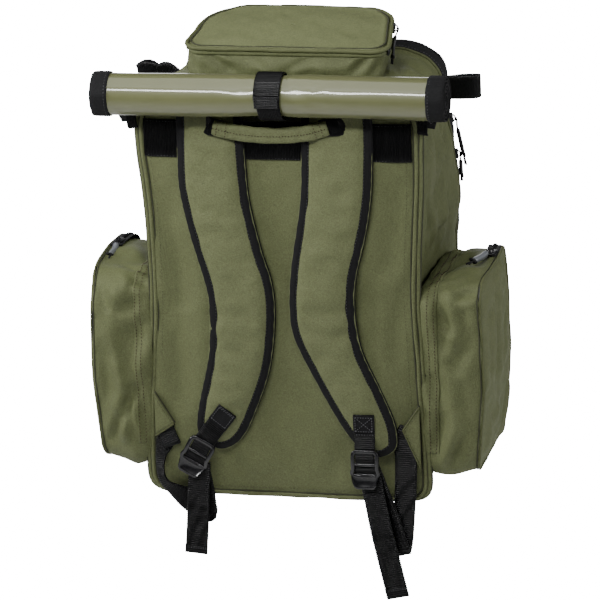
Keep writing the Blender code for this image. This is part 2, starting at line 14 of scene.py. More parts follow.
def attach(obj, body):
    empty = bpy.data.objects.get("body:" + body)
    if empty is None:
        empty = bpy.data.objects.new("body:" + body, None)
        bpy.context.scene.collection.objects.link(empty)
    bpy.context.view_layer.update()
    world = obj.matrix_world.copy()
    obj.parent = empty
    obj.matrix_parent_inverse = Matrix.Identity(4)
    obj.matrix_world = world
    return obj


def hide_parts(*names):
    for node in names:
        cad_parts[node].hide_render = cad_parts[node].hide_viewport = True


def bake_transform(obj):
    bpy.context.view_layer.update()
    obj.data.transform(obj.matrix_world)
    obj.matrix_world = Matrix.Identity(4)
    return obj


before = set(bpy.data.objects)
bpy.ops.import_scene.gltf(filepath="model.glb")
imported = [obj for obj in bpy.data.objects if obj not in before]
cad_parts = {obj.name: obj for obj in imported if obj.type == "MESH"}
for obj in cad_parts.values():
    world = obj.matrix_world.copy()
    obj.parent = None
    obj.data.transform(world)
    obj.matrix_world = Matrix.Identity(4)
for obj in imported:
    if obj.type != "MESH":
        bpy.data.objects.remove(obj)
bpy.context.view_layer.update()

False      # the pieces are built in full detail either way
UP = np.array((0.0, 0.0, 1.0))
BACK = np.array((0.0, -1.0, 0.0))
FRONT = -BACK
SIDES = {"left": 1, "right": -1}


# ================================================================ materials
def principled(name):
    material = bpy.data.materials.new(name)
    material.use_nodes = True
    tree = material.node_tree
    return material, tree, tree.nodes["Principled BSDF"]


def object_coords(tree):
    return tree.nodes.new("ShaderNodeTexCoord").outputs["Object"]


def math_node(tree, operation, first, second=None):
    """A math node on a socket and, if given, a second socket or a float."""
    node = tree.nodes.new("ShaderNodeMath")
    node.operation = operation
    tree.links.new(first, node.inputs[0])
    if isinstance(second, float):
        node.inputs[1].default_value = second
    elif second is not None:
        tree.links.new(second, node.inputs[1])
    return node.outputs[0]


def noise(tree, coords, scale, detail=2.0, rough=0.5):
    node = tree.nodes.new("ShaderNodeTexNoise")
    node.inputs["Scale"].default_value = scale
    node.inputs["Detail"].default_value = detail
    node.inputs["Roughness"].default_value = rough
    tree.links.new(coords, node.inputs["Vector"])
    return node.outputs["Fac"]


def colour_by(tree, shader, colour, factor):
    """Base colour: a fixed colour scaled by a socket."""
    node = tree.nodes.new("ShaderNodeVectorMath")
    node.operation = "SCALE"
    node.inputs[0].default_value = colour
    tree.links.new(factor, node.inputs["Scale"])
    tree.links.new(node.outputs["Vector"], shader.inputs["Base Color"])


def bump_by(tree, shader, height, strength, distance):
    node = tree.nodes.new("ShaderNodeBump")
    node.inputs["Strength"].default_value = strength
    node.inputs["Distance"].default_value = distance
    tree.links.new(height, node.inputs["Height"])
    tree.links.new(node.outputs["Normal"], shader.inputs["Normal"])


def set_inputs(shader, values):
    for name, value in values.items():
        shader.inputs[name].default_value = value


def fabric(name, colour, grain=0.55, rough=0.62, sheen=0.05, weave=0.0009, relief=0.0003,
           mottle=0.05, spec=0.28):
    """Woven cloth: an egg-crate weave, a fine grain and a slow change of shade.

    weave is the pitch of the threads, relief the bump distance; grain and mottle are the
    strengths of the fine and slow changes of shade.
    """
    material, tree, shader = principled(name)
    coords = object_coords(tree)
    fine = noise(tree, coords, scale=780.0, rough=0.8)
    middle = noise(tree, coords, scale=320.0, rough=0.6)
    slow = noise(tree, coords, scale=14.0, detail=3.0, rough=0.55)
    mix = math_node(tree, "ADD", math_node(tree, "MULTIPLY", fine, 0.80),
                    math_node(tree, "MULTIPLY", middle, 0.20))

    def centred(socket, strength):
        return math_node(tree, "MULTIPLY", math_node(tree, "SUBTRACT", socket, 0.5), strength)

    shade = math_node(tree, "ADD", centred(mix, grain * 3.2), centred(slow, mottle * 2.0))
    colour_by(tree, shader, colour, math_node(tree, "ADD", shade, 1.0))

    split = tree.nodes.new("ShaderNodeSeparateXYZ")
    tree.links.new(coords, split.inputs[0])
    total = None
    for axis in "XYZ":
        phase = math_node(tree, "MULTIPLY", split.outputs[axis], 2 * pi / weave)
        wave = math_node(tree, "SINE", phase)
        total = wave if total is None else math_node(tree, "ADD", total, wave)
    height = math_node(tree, "ADD", math_node(tree, "MULTIPLY", total, 0.22),
                       math_node(tree, "MULTIPLY", mix, 1.6))
    bump_by(tree, shader, height, strength=0.75, distance=relief)
    set_inputs(shader, {
        "Roughness": rough, "Sheen Weight": sheen, "Sheen Roughness": 0.5,
        "Sheen Tint": (*[min(1.0, channel * 3 + 0.2) for channel in colour], 1),
        "Specular IOR Level": spec})
    return material


def plain(name, colour, rough, metal=0.0, coat=0.0, relief=0.0):
    """A solid material with a slight grain; relief is the bump distance of that grain."""
    material, tree, shader = principled(name)
    grain = noise(tree, object_coords(tree), scale=600.0, rough=0.6)
    factor = math_node(tree, "ADD", math_node(tree, "MULTIPLY", grain, 0.24), 0.88)
    colour_by(tree, shader, colour, factor)
    if relief:
        bump_by(tree, shader, grain, strength=0.6, distance=relief)
    set_inputs(shader, {"Roughness": rough, "Metallic": metal, "Coat Weight": coat,
                        "Coat Roughness": 0.12})
    return material


def coated_sheet(name, colour, scrim_pitch):
    """Coated tarpaulin: a diagonal scrim just visible under a glossy skin."""
    material, tree, shader = principled(name)
    coords = object_coords(tree)
    slow = noise(tree, coords, scale=30.0, detail=3.0)
    split = tree.nodes.new("ShaderNodeSeparateXYZ")
    tree.links.new(coords, split.inputs[0])

    def diagonal(operation):
        place = math_node(tree, operation, split.outputs["X"], split.outputs["Z"])
        return math_node(tree, "SINE", math_node(tree, "MULTIPLY", place, 2 * pi / scrim_pitch))

    scrim = math_node(tree, "MULTIPLY", diagonal("ADD"), diagonal("SUBTRACT"))
    height = math_node(tree, "ADD", math_node(tree, "MULTIPLY", scrim, 0.30),
                       math_node(tree, "MULTIPLY", noise(tree, coords, scale=70.0), 0.5))
    bump_by(tree, shader, height, strength=0.22, distance=0.0003)
    factor = math_node(tree, "ADD", math_node(tree, "MULTIPLY", slow, 0.2), 0.9)
    colour_by(tree, shader, colour, factor)
    set_inputs(shader, {"Roughness": 0.42, "Coat Weight": 1.0, "Coat Roughness": 0.085,
                        "Specular IOR Level": 0.35})
    return material


OLIVE = (0.107, 0.120, 0.051)
LOOKS = {
    "olive": ("olive_fabric", fabric("olive_fabric_look", OLIVE)),
    # painted shade: a darker copy of the olive fabric for the top pocket's wall, which sits in shade
    # under the lid
    "olive_wall_painted_shade": ("olive_fabric", fabric("olive_wall_painted_shade_look", tuple(c * 0.84 for c in OLIVE))),
    # painted light: a lighter copy of the olive fabric for faces that catch the light, the shoulder
    # pads, the handle and the top of the lid
    "olive_painted_light": ("olive_fabric", fabric("olive_painted_light_look", (0.121, 0.135, 0.060))),
    "trim": ("olive_trim", fabric("olive_trim_look", (0.088, 0.098, 0.040), grain=0.30)),
    "lining": ("olive_fabric", fabric("lining_look", (0.075, 0.083, 0.040), grain=0.12)),
    "web": ("black_webbing", fabric(
        "black_webbing_look", (0.0010, 0.0011, 0.0013), grain=0.20, rough=0.30, sheen=0.0,
        weave=0.0013, relief=0.00015, mottle=0.06, spec=0.20)),
    "binding": ("black_webbing", fabric(
        "black_binding_look", (0.0055, 0.0056, 0.0062), rough=0.75, spec=0.2, weave=0.0011,
        mottle=0.06)),
    "fuzz": ("black_webbing", fabric(
        "hook_loop_look", (0.0040, 0.0040, 0.0045), grain=0.6, rough=0.95, sheen=0.10,
        spec=0.15, weave=0.0021, relief=0.001)),
    "tape": ("zip_tape", fabric(
        "zip_tape_look", (0.0042, 0.0042, 0.0047), grain=0.3, rough=0.7, sheen=0.06,
        weave=0.001)),
    "coil": ("zip_tape", plain("zip_coil_look", (0.007, 0.007, 0.008), rough=0.34)),
    "pvc": ("mat_pvc", coated_sheet("mat_pvc_look", (0.112, 0.118, 0.050), scrim_pitch=0.0019)),
    "plastic": ("buckle_plastic", plain(
        "buckle_plastic_look", (0.0070, 0.0070, 0.0080), rough=0.27, coat=0.2, relief=0.00004)),
    "metal": ("zip_metal", plain(
        "zip_metal_look", (0.022, 0.022, 0.024), rough=0.30, metal=0.6)),
    "tube": ("puller_grey", plain(
        "puller_grey_look", (0.150, 0.160, 0.175), rough=0.35, coat=0.4)),
    # a darker copy of the puller tube, used on the top and main pullers
    "tube_dark": ("puller_grey", plain(
        "puller_dark_look", (0.010, 0.010, 0.011), rough=0.25, coat=0.6)),
    "cord": ("puller_grey", fabric(
        "puller_cord_look", (0.006, 0.006, 0.0065), grain=0.4, rough=0.7, weave=0.001)),
    # painted shade: dark olive laid as thin lines where seams and grooves fall in shade
    "groove": ("olive_trim", plain("seam_shadow_look", (0.030, 0.033, 0.014), rough=0.85)),
    "thread": ("olive_trim", plain("thread_look", (0.034, 0.018, 0.006), rough=0.7)),
    "thread_olive": ("olive_trim", plain(
        "thread_olive_look", (0.044, 0.047, 0.020), rough=0.7)),
    "thread_black": ("black_webbing", plain(
        "thread_black_look", (0.075, 0.076, 0.082), rough=0.5)),
    "board": ("stiffener", plain("stiffener_look", (0.02, 0.02, 0.02), rough=0.5)),
}


# ================================================================ numbers and lines
def smooth(low, high, value):
    """Eases from 0 at low to 1 at high."""
    share = np.clip((np.asarray(value, float) - low) / (high - low), 0, 1)
    return share * share * (3 - 2 * share)


def bell(value, centre, width):
    return np.exp(-((value - centre) / width) ** 2)


def unit(vectors):
    vectors = np.asarray(vectors, float)
    return vectors / np.maximum(np.linalg.norm(vectors, axis=-1, keepdims=True), 1e-12)


def xyz(x, y, z):
    """Points from coordinates, each a number or an array."""
    return np.stack(np.broadcast_arrays(x, y, z), -1)


def at_depth(outline, y):
    """An outline in (x, z) placed at y."""
    return xyz(outline[..., 0], y, outline[..., 1])


def with_out(points, out):
    """Rows of x, y, z and the out direction, given once or per point."""
    points = np.asarray(points, float)
    return np.concatenate([points, np.broadcast_to(np.asarray(out, float), points.shape)], 1)


def waves(points, size, seed):
    """A smooth random field of about unit height, from sines of random direction."""
    rng = np.random.default_rng(seed)
    points = np.asarray(points, float)
    total = np.zeros(points.shape[:-1])
    for _ in range(9):
        run = unit(rng.normal(size=3)) * 2 * pi / size * rng.uniform(0.6, 1.5)
        total += np.sin(points @ run + rng.uniform(0, 2 * pi))
    return total / 3.0


def slack(points, size, seed):
    """Folds of slack cloth, about unit high: sharp crests that wander, fork and fade out."""
    points = np.asarray(points, float)
    drift = np.stack([waves(points, size * 1.7, seed + k) for k in (1, 2, 3)], -1)
    warped = points + 0.22 * size * drift
    rng = np.random.default_rng(seed)
    total = np.zeros(points.shape[:-1])
    for k in range(5):
        run = unit(rng.normal(size=3)) * 2 * pi / size * rng.uniform(0.55, 1.25)
        crest = (1 - np.abs(np.sin(0.5 * (warped @ run) + rng.uniform(0, 2 * pi)))) ** 1.6
        total += (crest - 0.28) * smooth(-0.3, 0.9, waves(points, size * 1.9, seed + 20 + k))
    return total


def creases(grid, out, axes, rows, mask=1.0, ridge=0.6):
    """Presses creases into a grid, each with a soft ridge on both sides.

    A row holds the start and the end in the given axes, then width and depth. mask keeps the
    creases to part of the grid.
    """
    count = len(axes)
    for row in rows:
        row = np.asarray(row, float)
        start, end, (width, depth) = row[:count], row[count:2 * count], row[2 * count:]
        flat = grid[..., list(axes)]
        run = end - start
        along = ((flat - start) @ run) / (run @ run)
        nearest = start + np.clip(along, 0, 1)[..., None] * run
        away = np.linalg.norm(flat - nearest, axis=-1)
        fade = np.sin(pi * np.clip(along * 0.94 + 0.03, 0, 1)) ** 0.6
        height = depth * (ridge * bell(away, 1.9 * width, 1.1 * width) - bell(away, 0, width))
        grid = grid + out * (height * fade * mask)[..., None]
    return grid


def lengths(points):
    """Distance along a polyline at each point, measured in the first three columns."""
    steps = np.linalg.norm(np.diff(points[:, :3], axis=0), axis=1)
    return np.concatenate([[0], np.cumsum(steps)])


def spaced(points, count):
    """That many points at even spacing along a polyline."""
    length = lengths(points)
    at = np.linspace(0, length[-1], count)
    return np.stack([np.interp(at, length, column) for column in points.T], 1)


def resample(points, step, closed=False):
    """Points about a step apart; a closed polyline ends where it starts and loses that point."""
    count = max(int(round(lengths(points)[-1] / step)), 2)
    even = spaced(points, count + 1)
    return even[:-1] if closed else even


def ring(points, step=0.004):
    """A closed loop at even spacing."""
    return resample(np.concatenate([points, points[:1]]), step, closed=True)


def spline(points, step, closed=False):
    """Points at even spacing along a Catmull-Rom curve, with any number of columns."""
    points = np.asarray(points, float)
    count = len(points)
    curve = []
    for i in range(count if closed else count - 1):
        near = [i + k for k in (-1, 0, 1, 2)]
        near = [k % count if closed else min(max(k, 0), count - 1) for k in near]
        before, here, after, beyond = points[near]
        for t in np.linspace(0, 1, 16, endpoint=False):
            curve.append(0.5 * (2 * here + (after - before) * t
                                + (2 * before - 5 * here + 4 * after - beyond) * t * t
                                + (3 * here - before - 3 * after + beyond) * t ** 3))
    curve.append(points[0] if closed else points[-1])
    return resample(np.array(curve), step, closed)


def tangents(path, closed=False):
    if closed:
        return unit(np.roll(path, -1, 0) - np.roll(path, 1, 0))
    return unit(np.gradient(path, axis=0))


def wobble(path, amount, size, seed):
    return path + np.stack([waves(path, size, seed + k) for k in range(3)], 1) * amount


def surface_y(grid, x, z, lift):
    """The y of the grid point nearest to (x, z), lifted towards -Y."""
    nearest = np.argmin((grid[..., 0] - x) ** 2 + (grid[..., 2] - z) ** 2)
    return float(grid.reshape(-1, 3)[nearest, 1]) - lift


def toward_edges(count):
    """Shares from -1 to 1, closer together near both ends."""
    share = np.linspace(-1, 1, count)
    return np.sign(share) * (1 - (1 - np.abs(share)) ** 1.25)


def inward_rings(outline, centre, shares):
    """The outline shrunk towards a centre by each share: (outline, share, coordinate)."""
    return centre + (outline - centre)[:, None] * np.asarray(shares)[:, None]


def first_three(row):
    return tuple(float(value) for value in row[:3])


# ================================================================ mesh helpers
def make(name, verts, faces, key, body=None, flat=False, replaces=(), solid=0.0, blend=None):
    slot, material = LOOKS[key]
    verts = np.asarray(verts, float).reshape(-1, 3)
    mesh = bpy.data.meshes.new(name)
    mesh.from_pydata(verts.tolist(), [], [list(map(int, face)) for face in faces])
    if not flat:
        mesh.shade_smooth()
    mesh.materials.append(material)
    obj = bpy.data.objects.new(name, mesh)
    bpy.context.scene.collection.objects.link(obj)
    if solid:
        thickness = obj.modifiers.new("thickness", "SOLIDIFY")
        thickness.thickness, thickness.offset = solid, -1.0
    if body:
        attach(obj, body)
    if replaces:
        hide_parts(*replaces)
    if blend:
        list(blend)
        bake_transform(obj)


def grid_faces(rows, columns, wrap_rows=False, wrap_columns=False):
    i = np.arange(rows if wrap_rows else rows - 1)
    j = np.arange(columns if wrap_columns else columns - 1)
    row, column = np.meshgrid(i, j, indexing="ij")
    row2, column2 = (row + 1) % rows, (column + 1) % columns
    return np.stack([row * columns + column, row2 * columns + column,
                     row2 * columns + column2, row * columns + column2], -1).reshape(-1, 4)


def turn_out(verts, faces, inside):
    """Faces turned round, if needed, to look away from inside: one point or one per face."""
    first, second, third = (verts.reshape(-1, 3)[faces[:, i]] for i in range(3))
    normal = np.cross(second - first, third - first)
    away = (first + third) / 2 - np.asarray(inside, float)
    return faces if (normal * away).sum() >= 0 else faces[:, ::-1]


def tube_faces(verts, closed=False):
    """Faces round a row of closed sections, looking away from the section middles."""
    rows, columns = verts.shape[:2]
    faces = grid_faces(rows, columns, closed, True)
    return turn_out(verts, faces, verts.mean(1)[faces[:, 0] // columns])


def capped(faces, rows, columns):
    """The faces of a tube-like grid with a face on its first and last section."""
    last = [(rows - 1) * columns + j for j in range(columns)]
    return [list(face) for face in faces] + [list(range(columns)), last[::-1]]


def sheet(name, grid, key, inside, body=None, wrap_rows=False, wrap_columns=False, **more):
    grid = np.asarray(grid, float)
    faces = grid_faces(grid.shape[0], grid.shape[1], wrap_rows, wrap_columns)
    make(name, grid, turn_out(grid, faces, inside), key, body, **more)


def sweep(name, path, profile, key, out, body=None, closed=False, **more):
    """A closed profile in (across, out) carried along a path.

    The out direction is one for all or one per point. The profile may change along the path:
    its shape is then (points, corners, 2).
    """
    path = np.asarray(path, float)
    tangent = tangents(path, closed)
    out = np.broadcast_to(np.asarray(out, float), path.shape)
    normal = unit(out - (out * tangent).sum(1, keepdims=True) * tangent)
    across = np.cross(tangent, normal)
    profile = np.asarray(profile, float)
    if profile.ndim == 2:
        profile = np.broadcast_to(profile, (len(path),) + profile.shape)
    verts = path[:, None] + profile[..., :1] * across[:, None] + profile[..., 1:] * normal[:, None]
    rows, columns = verts.shape[:2]
    faces = [list(face) for face in tube_faces(verts, closed)]
    if not closed:
        for row, away in ((0, path[0] - path[1]), (rows - 1, path[-1] - path[-2])):
            corners = list(range(row * columns, (row + 1) * columns))
            spokes = verts[row] - verts[row].mean(0)
            facing = np.cross(spokes, np.roll(spokes, -1, 0)).sum(0) @ away
            faces.append(corners if facing > 0 else corners[::-1])
    make(name, verts, faces, key, body, **more)


def circle(sides):
    angle = np.arange(sides) * 2 * pi / sides
    return np.stack([np.cos(angle), np.sin(angle)], 1)


def squared_oval(half_width, half_height, power_x, power_y, count):
    """An oval profile; powers below 1 square it off."""
    angle = np.linspace(0, 2 * pi, count, endpoint=False)

    def bent(wave, power):
        return np.sign(wave) * np.abs(wave) ** power

    return np.stack([half_width * bent(np.cos(angle), power_x),
                     half_height * bent(np.sin(angle), power_y)], 1)


def tube(name, path, radius, key, out, body=None, closed=False, sides=10, **more):
    """A round bar; the radius is one for all or one per point."""
    radius = np.asarray(radius, float)
    profile = circle(sides) * (radius[:, None, None] if radius.ndim else float(radius))
    sweep(name, path, profile, key, out, body, closed, **more)


# share of the half-width and of the thickness at points across one face of webbing
WEB_ACROSS = np.array([-1, -0.985, -0.93, -0.6, -0.2, 0.2, 0.6, 0.93, 0.985, 1.0])
WEB_THICK = np.array([0.25, 0.7, 1, 1, 1, 1, 1, 1, 0.7, 0.25])


def webbing(name, rows, half, body=None, key="web", thick=0.0014, pitch=0.0027, rib=0.00035,
            wave=0.012, **more):
    """Ribbed webbing. Rows are x, y, z, the out direction and, if half is None, the half-width.

    pitch and rib are the spacing and height of the ribs (pitch 0 for none), wave how much the
    ribs show in the edges, as a share of the width.
    """
    line = spline(rows, pitch / 4 if pitch else 0.003)
    length = lengths(line)
    phase = np.cos(2 * pi * length / pitch) if pitch else np.zeros_like(length)
    width = (line[:, 6] if half is None else half) * (1 + wave * phase)
    rise = thick / 2 + rib * (0.5 + 0.5 * phase)
    top = np.stack([WEB_ACROSS * width[:, None], WEB_THICK * rise[:, None]], -1)
    under = top[:, ::-1] * (1, -1)
    sweep(name, line[:, :3], np.concatenate([top, under], 1), key, line[:, 3:6], body, **more)


# corners of a stitch: 0 and 1 its ends, 2 and 3 its sides, 4 above and 5 below its middle
STITCH_FACES = ((0, 2, 4), (0, 4, 3), (1, 4, 2), (1, 3, 4), (0, 5, 2), (0, 3, 5), (1, 2, 5),
                (1, 5, 3))


def stitches(name, lines, key="thread", body=None, length=0.0026, gap=0.0016, radius=0.00038,
             lift=0.0003, **more):
    """Thread showing on a surface: lines is a list of (path, out direction or one per point)."""
    verts, faces = [], []
    for path, out in lines:
        marks = resample(with_out(path, out), (length + gap) / 2)
        for i in range(0, len(marks) - 1, 2):
            start, end = marks[i, :3], marks[i + 1, :3]
            up = unit(marks[i, 3:])
            run = unit(end - start)
            middle = (start + end) / 2
            side = np.cross(run, up) * radius
            base = len(verts)
            verts += [middle - run * length / 2, middle + run * length / 2,
                      middle + side + up * lift, middle - side + up * lift,
                      middle + up * (lift + radius), middle + up * (lift - 2 * radius)]
            faces += [[base + corner for corner in face] for face in STITCH_FACES]
    make(name, verts, faces, key, body, flat=True, **more)


# ================================================================ zip helpers
def coil(name, path, outs, body, width=0.0030, height=0.0015, **more):
    """Zip teeth: a flat oval bar that swells and shrinks at every step."""
    line = resample(with_out(path, outs), 0.00075)
    swell = np.where(np.arange(len(line)) % 2 == 0, 1.0, 0.74)
    profile = circle(8)[None] * np.array([width, height]) * swell[:, None, None]
    sweep(name, line[:, :3], profile, "coil", line[:, 3:], body, **more)


def flat_tape(name, path, outs, half, body, **more):
    webbing(name, with_out(path, outs), half, body, "tape", thick=0.0009, pitch=0.0, rib=0.0,
            wave=0.0, **more)


def slider_and_puller(name, base, out, run, drop, length, grow=1.0, tube_radius=0.0030,
                      tube_key="tube", reach=(0.24, 0.66)):
    """A cast slider on the coil, and a cord puller with a tube and a knotted end along run.

    drop is how far the puller sinks towards the surface, reach the shares of its length
    between which the tube lies, grow the scale of the slider and the knot.
    """
    out, run = unit(out), unit(run)
    side = np.cross(out, run)
    base = np.asarray(base, float)

    # slider: distance along run, half-width
    body = name + "_slider"
    stations = np.array([(-0.0072, 0.0030), (-0.0055, 0.0042), (0.0, 0.0046), (0.0040, 0.0036),
                         (0.0056, 0.0026)]) * grow
    rows = [(*(base + run * along + out * 0.0016), half) for along, half in stations]
    line = spline(rows, 0.0008)
    section = squared_oval(1.0, 0.0016, 0.5, 0.6, 16)
    profile = np.broadcast_to(section, (len(line),) + section.shape).copy()
    profile[:, :, 0] *= line[:, 3][:, None]
    sweep("zip_slider_" + name, line[:, :3], profile, "metal", out, body, replaces=(body,))
    # bridge: distance along run, distance out
    bridge = [base + run * along + out * lift for along, lift in (
        (-0.0050, 0.0030), (-0.0042, 0.0050), (-0.0010, 0.0062), (0.0022, 0.0052),
        (0.0030, 0.0030))]
    tube("zip_bridge_" + name, spline(bridge, 0.0006), 0.0011, "metal", side, body, sides=8)

    # puller: two cords from the bridge into the tube, then a knot and two loose ends
    body = name + "_puller"
    eye = base + out * 0.0062 - run * 0.0010

    def sag(share):
        return -drop * smooth(0.0, 0.45, share)

    def at(share, lift, across=0.0):
        return eye + run * length * share + out * lift + side * across

    start, end = reach
    for i, across in enumerate((-0.0012, 0.0012)):
        points = [at(0.00, 0.0012 if i else -0.0012, across * 0.2),
                  at(0.06, sag(0.06) + 0.0010, across * 1.3),
                  at(0.16, sag(0.16), across * 1.4),
                  at(start + 0.04, sag(start + 0.04), across)]
        tube("puller_cord_%s_%d" % (name, i), spline(points, 0.0006), 0.0010, "cord", side, body,
             sides=8, replaces=() if i else (body,))
    line = spline([at(share, sag(share), 0.0004 * sin(4 * share))
                   for share in np.linspace(start, end, 6)], 0.0006)
    index = np.arange(len(line))
    rounding = np.exp(-np.minimum(index, len(line) - 1 - index) / 1.4)
    tube("puller_tube_" + name, line, tube_radius * (1 - 0.18 * rounding), tube_key, side, body,
         sides=16)
    share = np.linspace(0, 1, 40)[:, None]
    angle = share * 2 * 2 * pi      # the knot is two turns
    turns = (run * (0.0021 * np.cos(angle) * 0.7 + (share - 0.5) * 0.0030)
             + side * 0.0026 * np.sin(angle) + out * 0.0022 * np.cos(angle + 0.6))
    knot = at(0.74, sag(0.74) + 0.0004) + turns * grow
    tube("puller_knot_" + name, resample(knot, 0.0005), 0.0011 * grow, "cord", side, body,
         sides=8)
    for i, (across, lift) in enumerate(((0.0016, 0.0006), (-0.0012, -0.0004))):
        points = [at(0.70, sag(0.7), across * 0.3),
                  at(0.80, sag(0.8) + lift * 0.5, across * 0.7),
                  at(0.90, sag(0.9) + lift, across * 1.2),
                  at(0.985 - 0.03 * i, sag(1) + lift, across * 1.8)]
        tube("puller_end_%s_%d" % (name, i), spline(points, 0.0006), 0.00105 * grow, "cord",
             side, body, sides=8)


# ================================================================ body
HEIGHT = 0.540
BACK_Y, FRONT_Y = -0.1245, 0.1245       # ends of the side wall
BASE_RADIUS = 0.022
BACK_TOP_RADIUS, FRONT_TOP_RADIUS, DOOR_TOP_RADIUS = 0.050, 0.054, 0.056
ZIP_SHARE = 0.936                       # place of the main zip in the depth, back to front

# half-widths of the body: z, half-width
BACK_LEFT = [
    (0, 0.1770), (0.042, 0.1762), (0.084, 0.1748), (0.139, 0.1724), (0.220, 0.1690),
    (0.274, 0.1668), (0.341, 0.1700), (0.407, 0.1746), (0.505, 0.1772), (0.54, 0.1775)]
BACK_RIGHT = [
    (0, 0.1822), (0.063, 0.1818), (0.12, 0.1784), (0.232, 0.1696), (0.259, 0.1684),
    (0.327, 0.1682), (0.368, 0.1688), (0.421, 0.1724), (0.452, 0.1764), (0.498, 0.1782),
    (0.54, 0.1782)]
FRONT_HALF = [
    (0, 0.1720), (0.150, 0.1735), (0.278, 0.1745), (0.313, 0.1760), (0.341, 0.1765),
    (0.383, 0.1738), (0.452, 0.1685), (0.494, 0.1645), (0.54, 0.1625)]


def curve_of(table):
    """A smoothed lookup through the stations of a table."""
    stations = np.array(table)
    levels = np.linspace(-0.06, 0.60, 331)
    values = np.interp(levels, stations[:, 0], stations[:, 1])
    kernel = np.exp(-(np.arange(-12, 13) / 6.0) ** 2)
    values = np.convolve(np.pad(values, 12, "edge"), kernel / kernel.sum(), "valid")
    return lambda z: np.interp(z, levels, values)


back_left, back_right, front_half = (curve_of(t) for t in (BACK_LEFT, BACK_RIGHT, FRONT_HALF))


def rounded_half(z, half, top_radius, base_radius, bottom=0.0, top=HEIGHT):
    """Half-width at height z of an outline whose corners are rounded."""
    rise = np.clip((z - (top - top_radius)) / top_radius, 0, 1)
    fall = np.clip((bottom + base_radius - z) / base_radius, 0, 1)
    return (half - top_radius * (1 - np.sqrt(1 - rise ** 2))
            - base_radius * (1 - np.sqrt(1 - fall ** 2)))


def body_loop(left_half, right_half, top_radius):
    """A closed (x, z) outline from the middle of the base round +X, over the top and back.

    Point counts are fixed, so that two loops pair point by point.
    """
    z = np.concatenate([
        BASE_RADIUS * (1 - np.cos(np.linspace(0, pi / 2, 9))),
        np.linspace(BASE_RADIUS, HEIGHT - top_radius, 76)[1:-1],
        HEIGHT - top_radius + top_radius * np.sin(np.linspace(0, pi / 2, 17))])

    def edge(half):
        return rounded_half(z, half(z), top_radius, BASE_RADIUS)

    left = np.stack([edge(left_half), z], 1)
    right = np.stack([-edge(right_half), z], 1)[::-1]

    def level(xs, height):
        return np.stack([xs, np.full(len(xs), height)], 1)

    return np.concatenate([level(np.linspace(0, left[0, 0], 15)[:-1], 0.0), left,
                           level(np.linspace(left[-1, 0], right[0, 0], 34)[1:-1], HEIGHT), right,
                           level(np.linspace(right[-1, 0], 0, 15)[1:-1], 0.0)])


BACK_LOOP = body_loop(back_left, back_right, BACK_TOP_RADIUS)
FRONT_LOOP = body_loop(front_half, front_half, FRONT_TOP_RADIUS)


def outward(outline):
    """Outward directions of a closed anticlockwise 2D outline."""
    run = np.roll(outline, -1, 0) - np.roll(outline, 1, 0)
    return unit(np.stack([run[:, 1], -run[:, 0]], 1))


def side_swell(z):
    """How far the side wall stands out near the front at each height."""
    return np.interp(z, [0.15, 0.22, 0.289, 0.318, 0.345, 0.385, 0.415, 0.454, 0.49],
                     [0.0010, 0.0040, 0.0085, 0.0085, 0.0105, 0.0088, 0.0048, 0.0018, 0.0])


def gusset_at(shares, lift=0.0):
    """Points and out directions of the wall round the body, at shares of its depth from back
    to front: two arrays (loop, share, 3)."""
    shares = np.asarray(shares, float)
    mix = shares[None, :, None]
    outline = BACK_LOOP[:, None] + (FRONT_LOOP - BACK_LOOP)[:, None] * mix
    out = unit(outward(BACK_LOOP)[:, None] * (1 - mix) + outward(FRONT_LOOP)[:, None] * mix)
    x, z = outline[..., 0], outline[..., 1]
    depth = np.broadcast_to(shares, z.shape)
    y = BACK_Y + (FRONT_Y - BACK_Y) * depth
    place = xyz(x, y, z)
    sideways = np.abs(out[..., 0])
    above = smooth(0.255, 0.36, z)
    soft = sideways * smooth(0.0, 0.10, depth) * smooth(0.0, 0.08, 1 - depth)

    # fullness, fading to nothing at both seams and nearly flat under the base
    full = (0.0030 + 0.0085 * above * (1 - 0.5 * depth) * sideways
            + 0.0025 * bell(depth, 0, 0.10) * sideways)
    full = np.where(out[..., 1] < -0.7, 0.0004, full)
    full = full * (1 - np.exp(-depth / 0.035)) * (1 - np.exp(-(1 - depth) / 0.05))
    # the wall stands out beside the main zip
    flare = (0.0082 * bell(depth, ZIP_SHARE, 0.045) * smooth(0.478, 0.520, z)
             + side_swell(z) * sideways * bell(depth, 0.84, 0.20)
             * (1 - 0.55 * smooth(0.90, 1.0, depth)))
    ripple = 0.0030 * above * soft * np.sin(
        2 * pi * (depth * 4.3 + 0.22 * waves(place, 0.5, 3)) + np.where(x > 0, 0.4, 2.0))
    rough = (0.0022 * soft * waves(place * (1, 1.6, 0.8), 0.085, 7) * (0.35 + 0.65 * above)
             + 0.0007 * soft * waves(place, 0.032, 8)
             + 0.0042 * soft * slack(place * (1, 1.5, 0.55), 0.060, 9) * (0.4 + 0.6 * above))
    pushed = outline + out * (full + ripple + rough + flare + lift)[..., None]
    return at_depth(pushed, y), at_depth(out, 0.0)


# creases down the side walls: y, z of both ends, width, depth
WALL_CREASES = [
    (-0.100, 0.505, -0.030, 0.400, 0.0075, 0.0046), (0.050, 0.490, -0.010, 0.345, 0.0095, 0.0040),
    (-0.060, 0.310, 0.060, 0.345, 0.0085, 0.0034), (-0.095, 0.460, -0.080, 0.330, 0.0080, 0.0036),
    (0.000, 0.500, 0.020, 0.410, 0.0070, 0.0036), (-0.105, 0.400, -0.040, 0.300, 0.0080, 0.0030)]
# creases over the top corners: x, y of both ends, width, depth
TOP_CREASES = [
    (0.158, -0.115, 0.128, -0.030, 0.0075, 0.0046), (-0.158, -0.115, -0.126, -0.030, 0.0075, 0.0046),
    (0.150, -0.060, 0.120, 0.040, 0.0070, 0.0034), (-0.150, -0.060, -0.120, 0.040, 0.0070, 0.0034)]


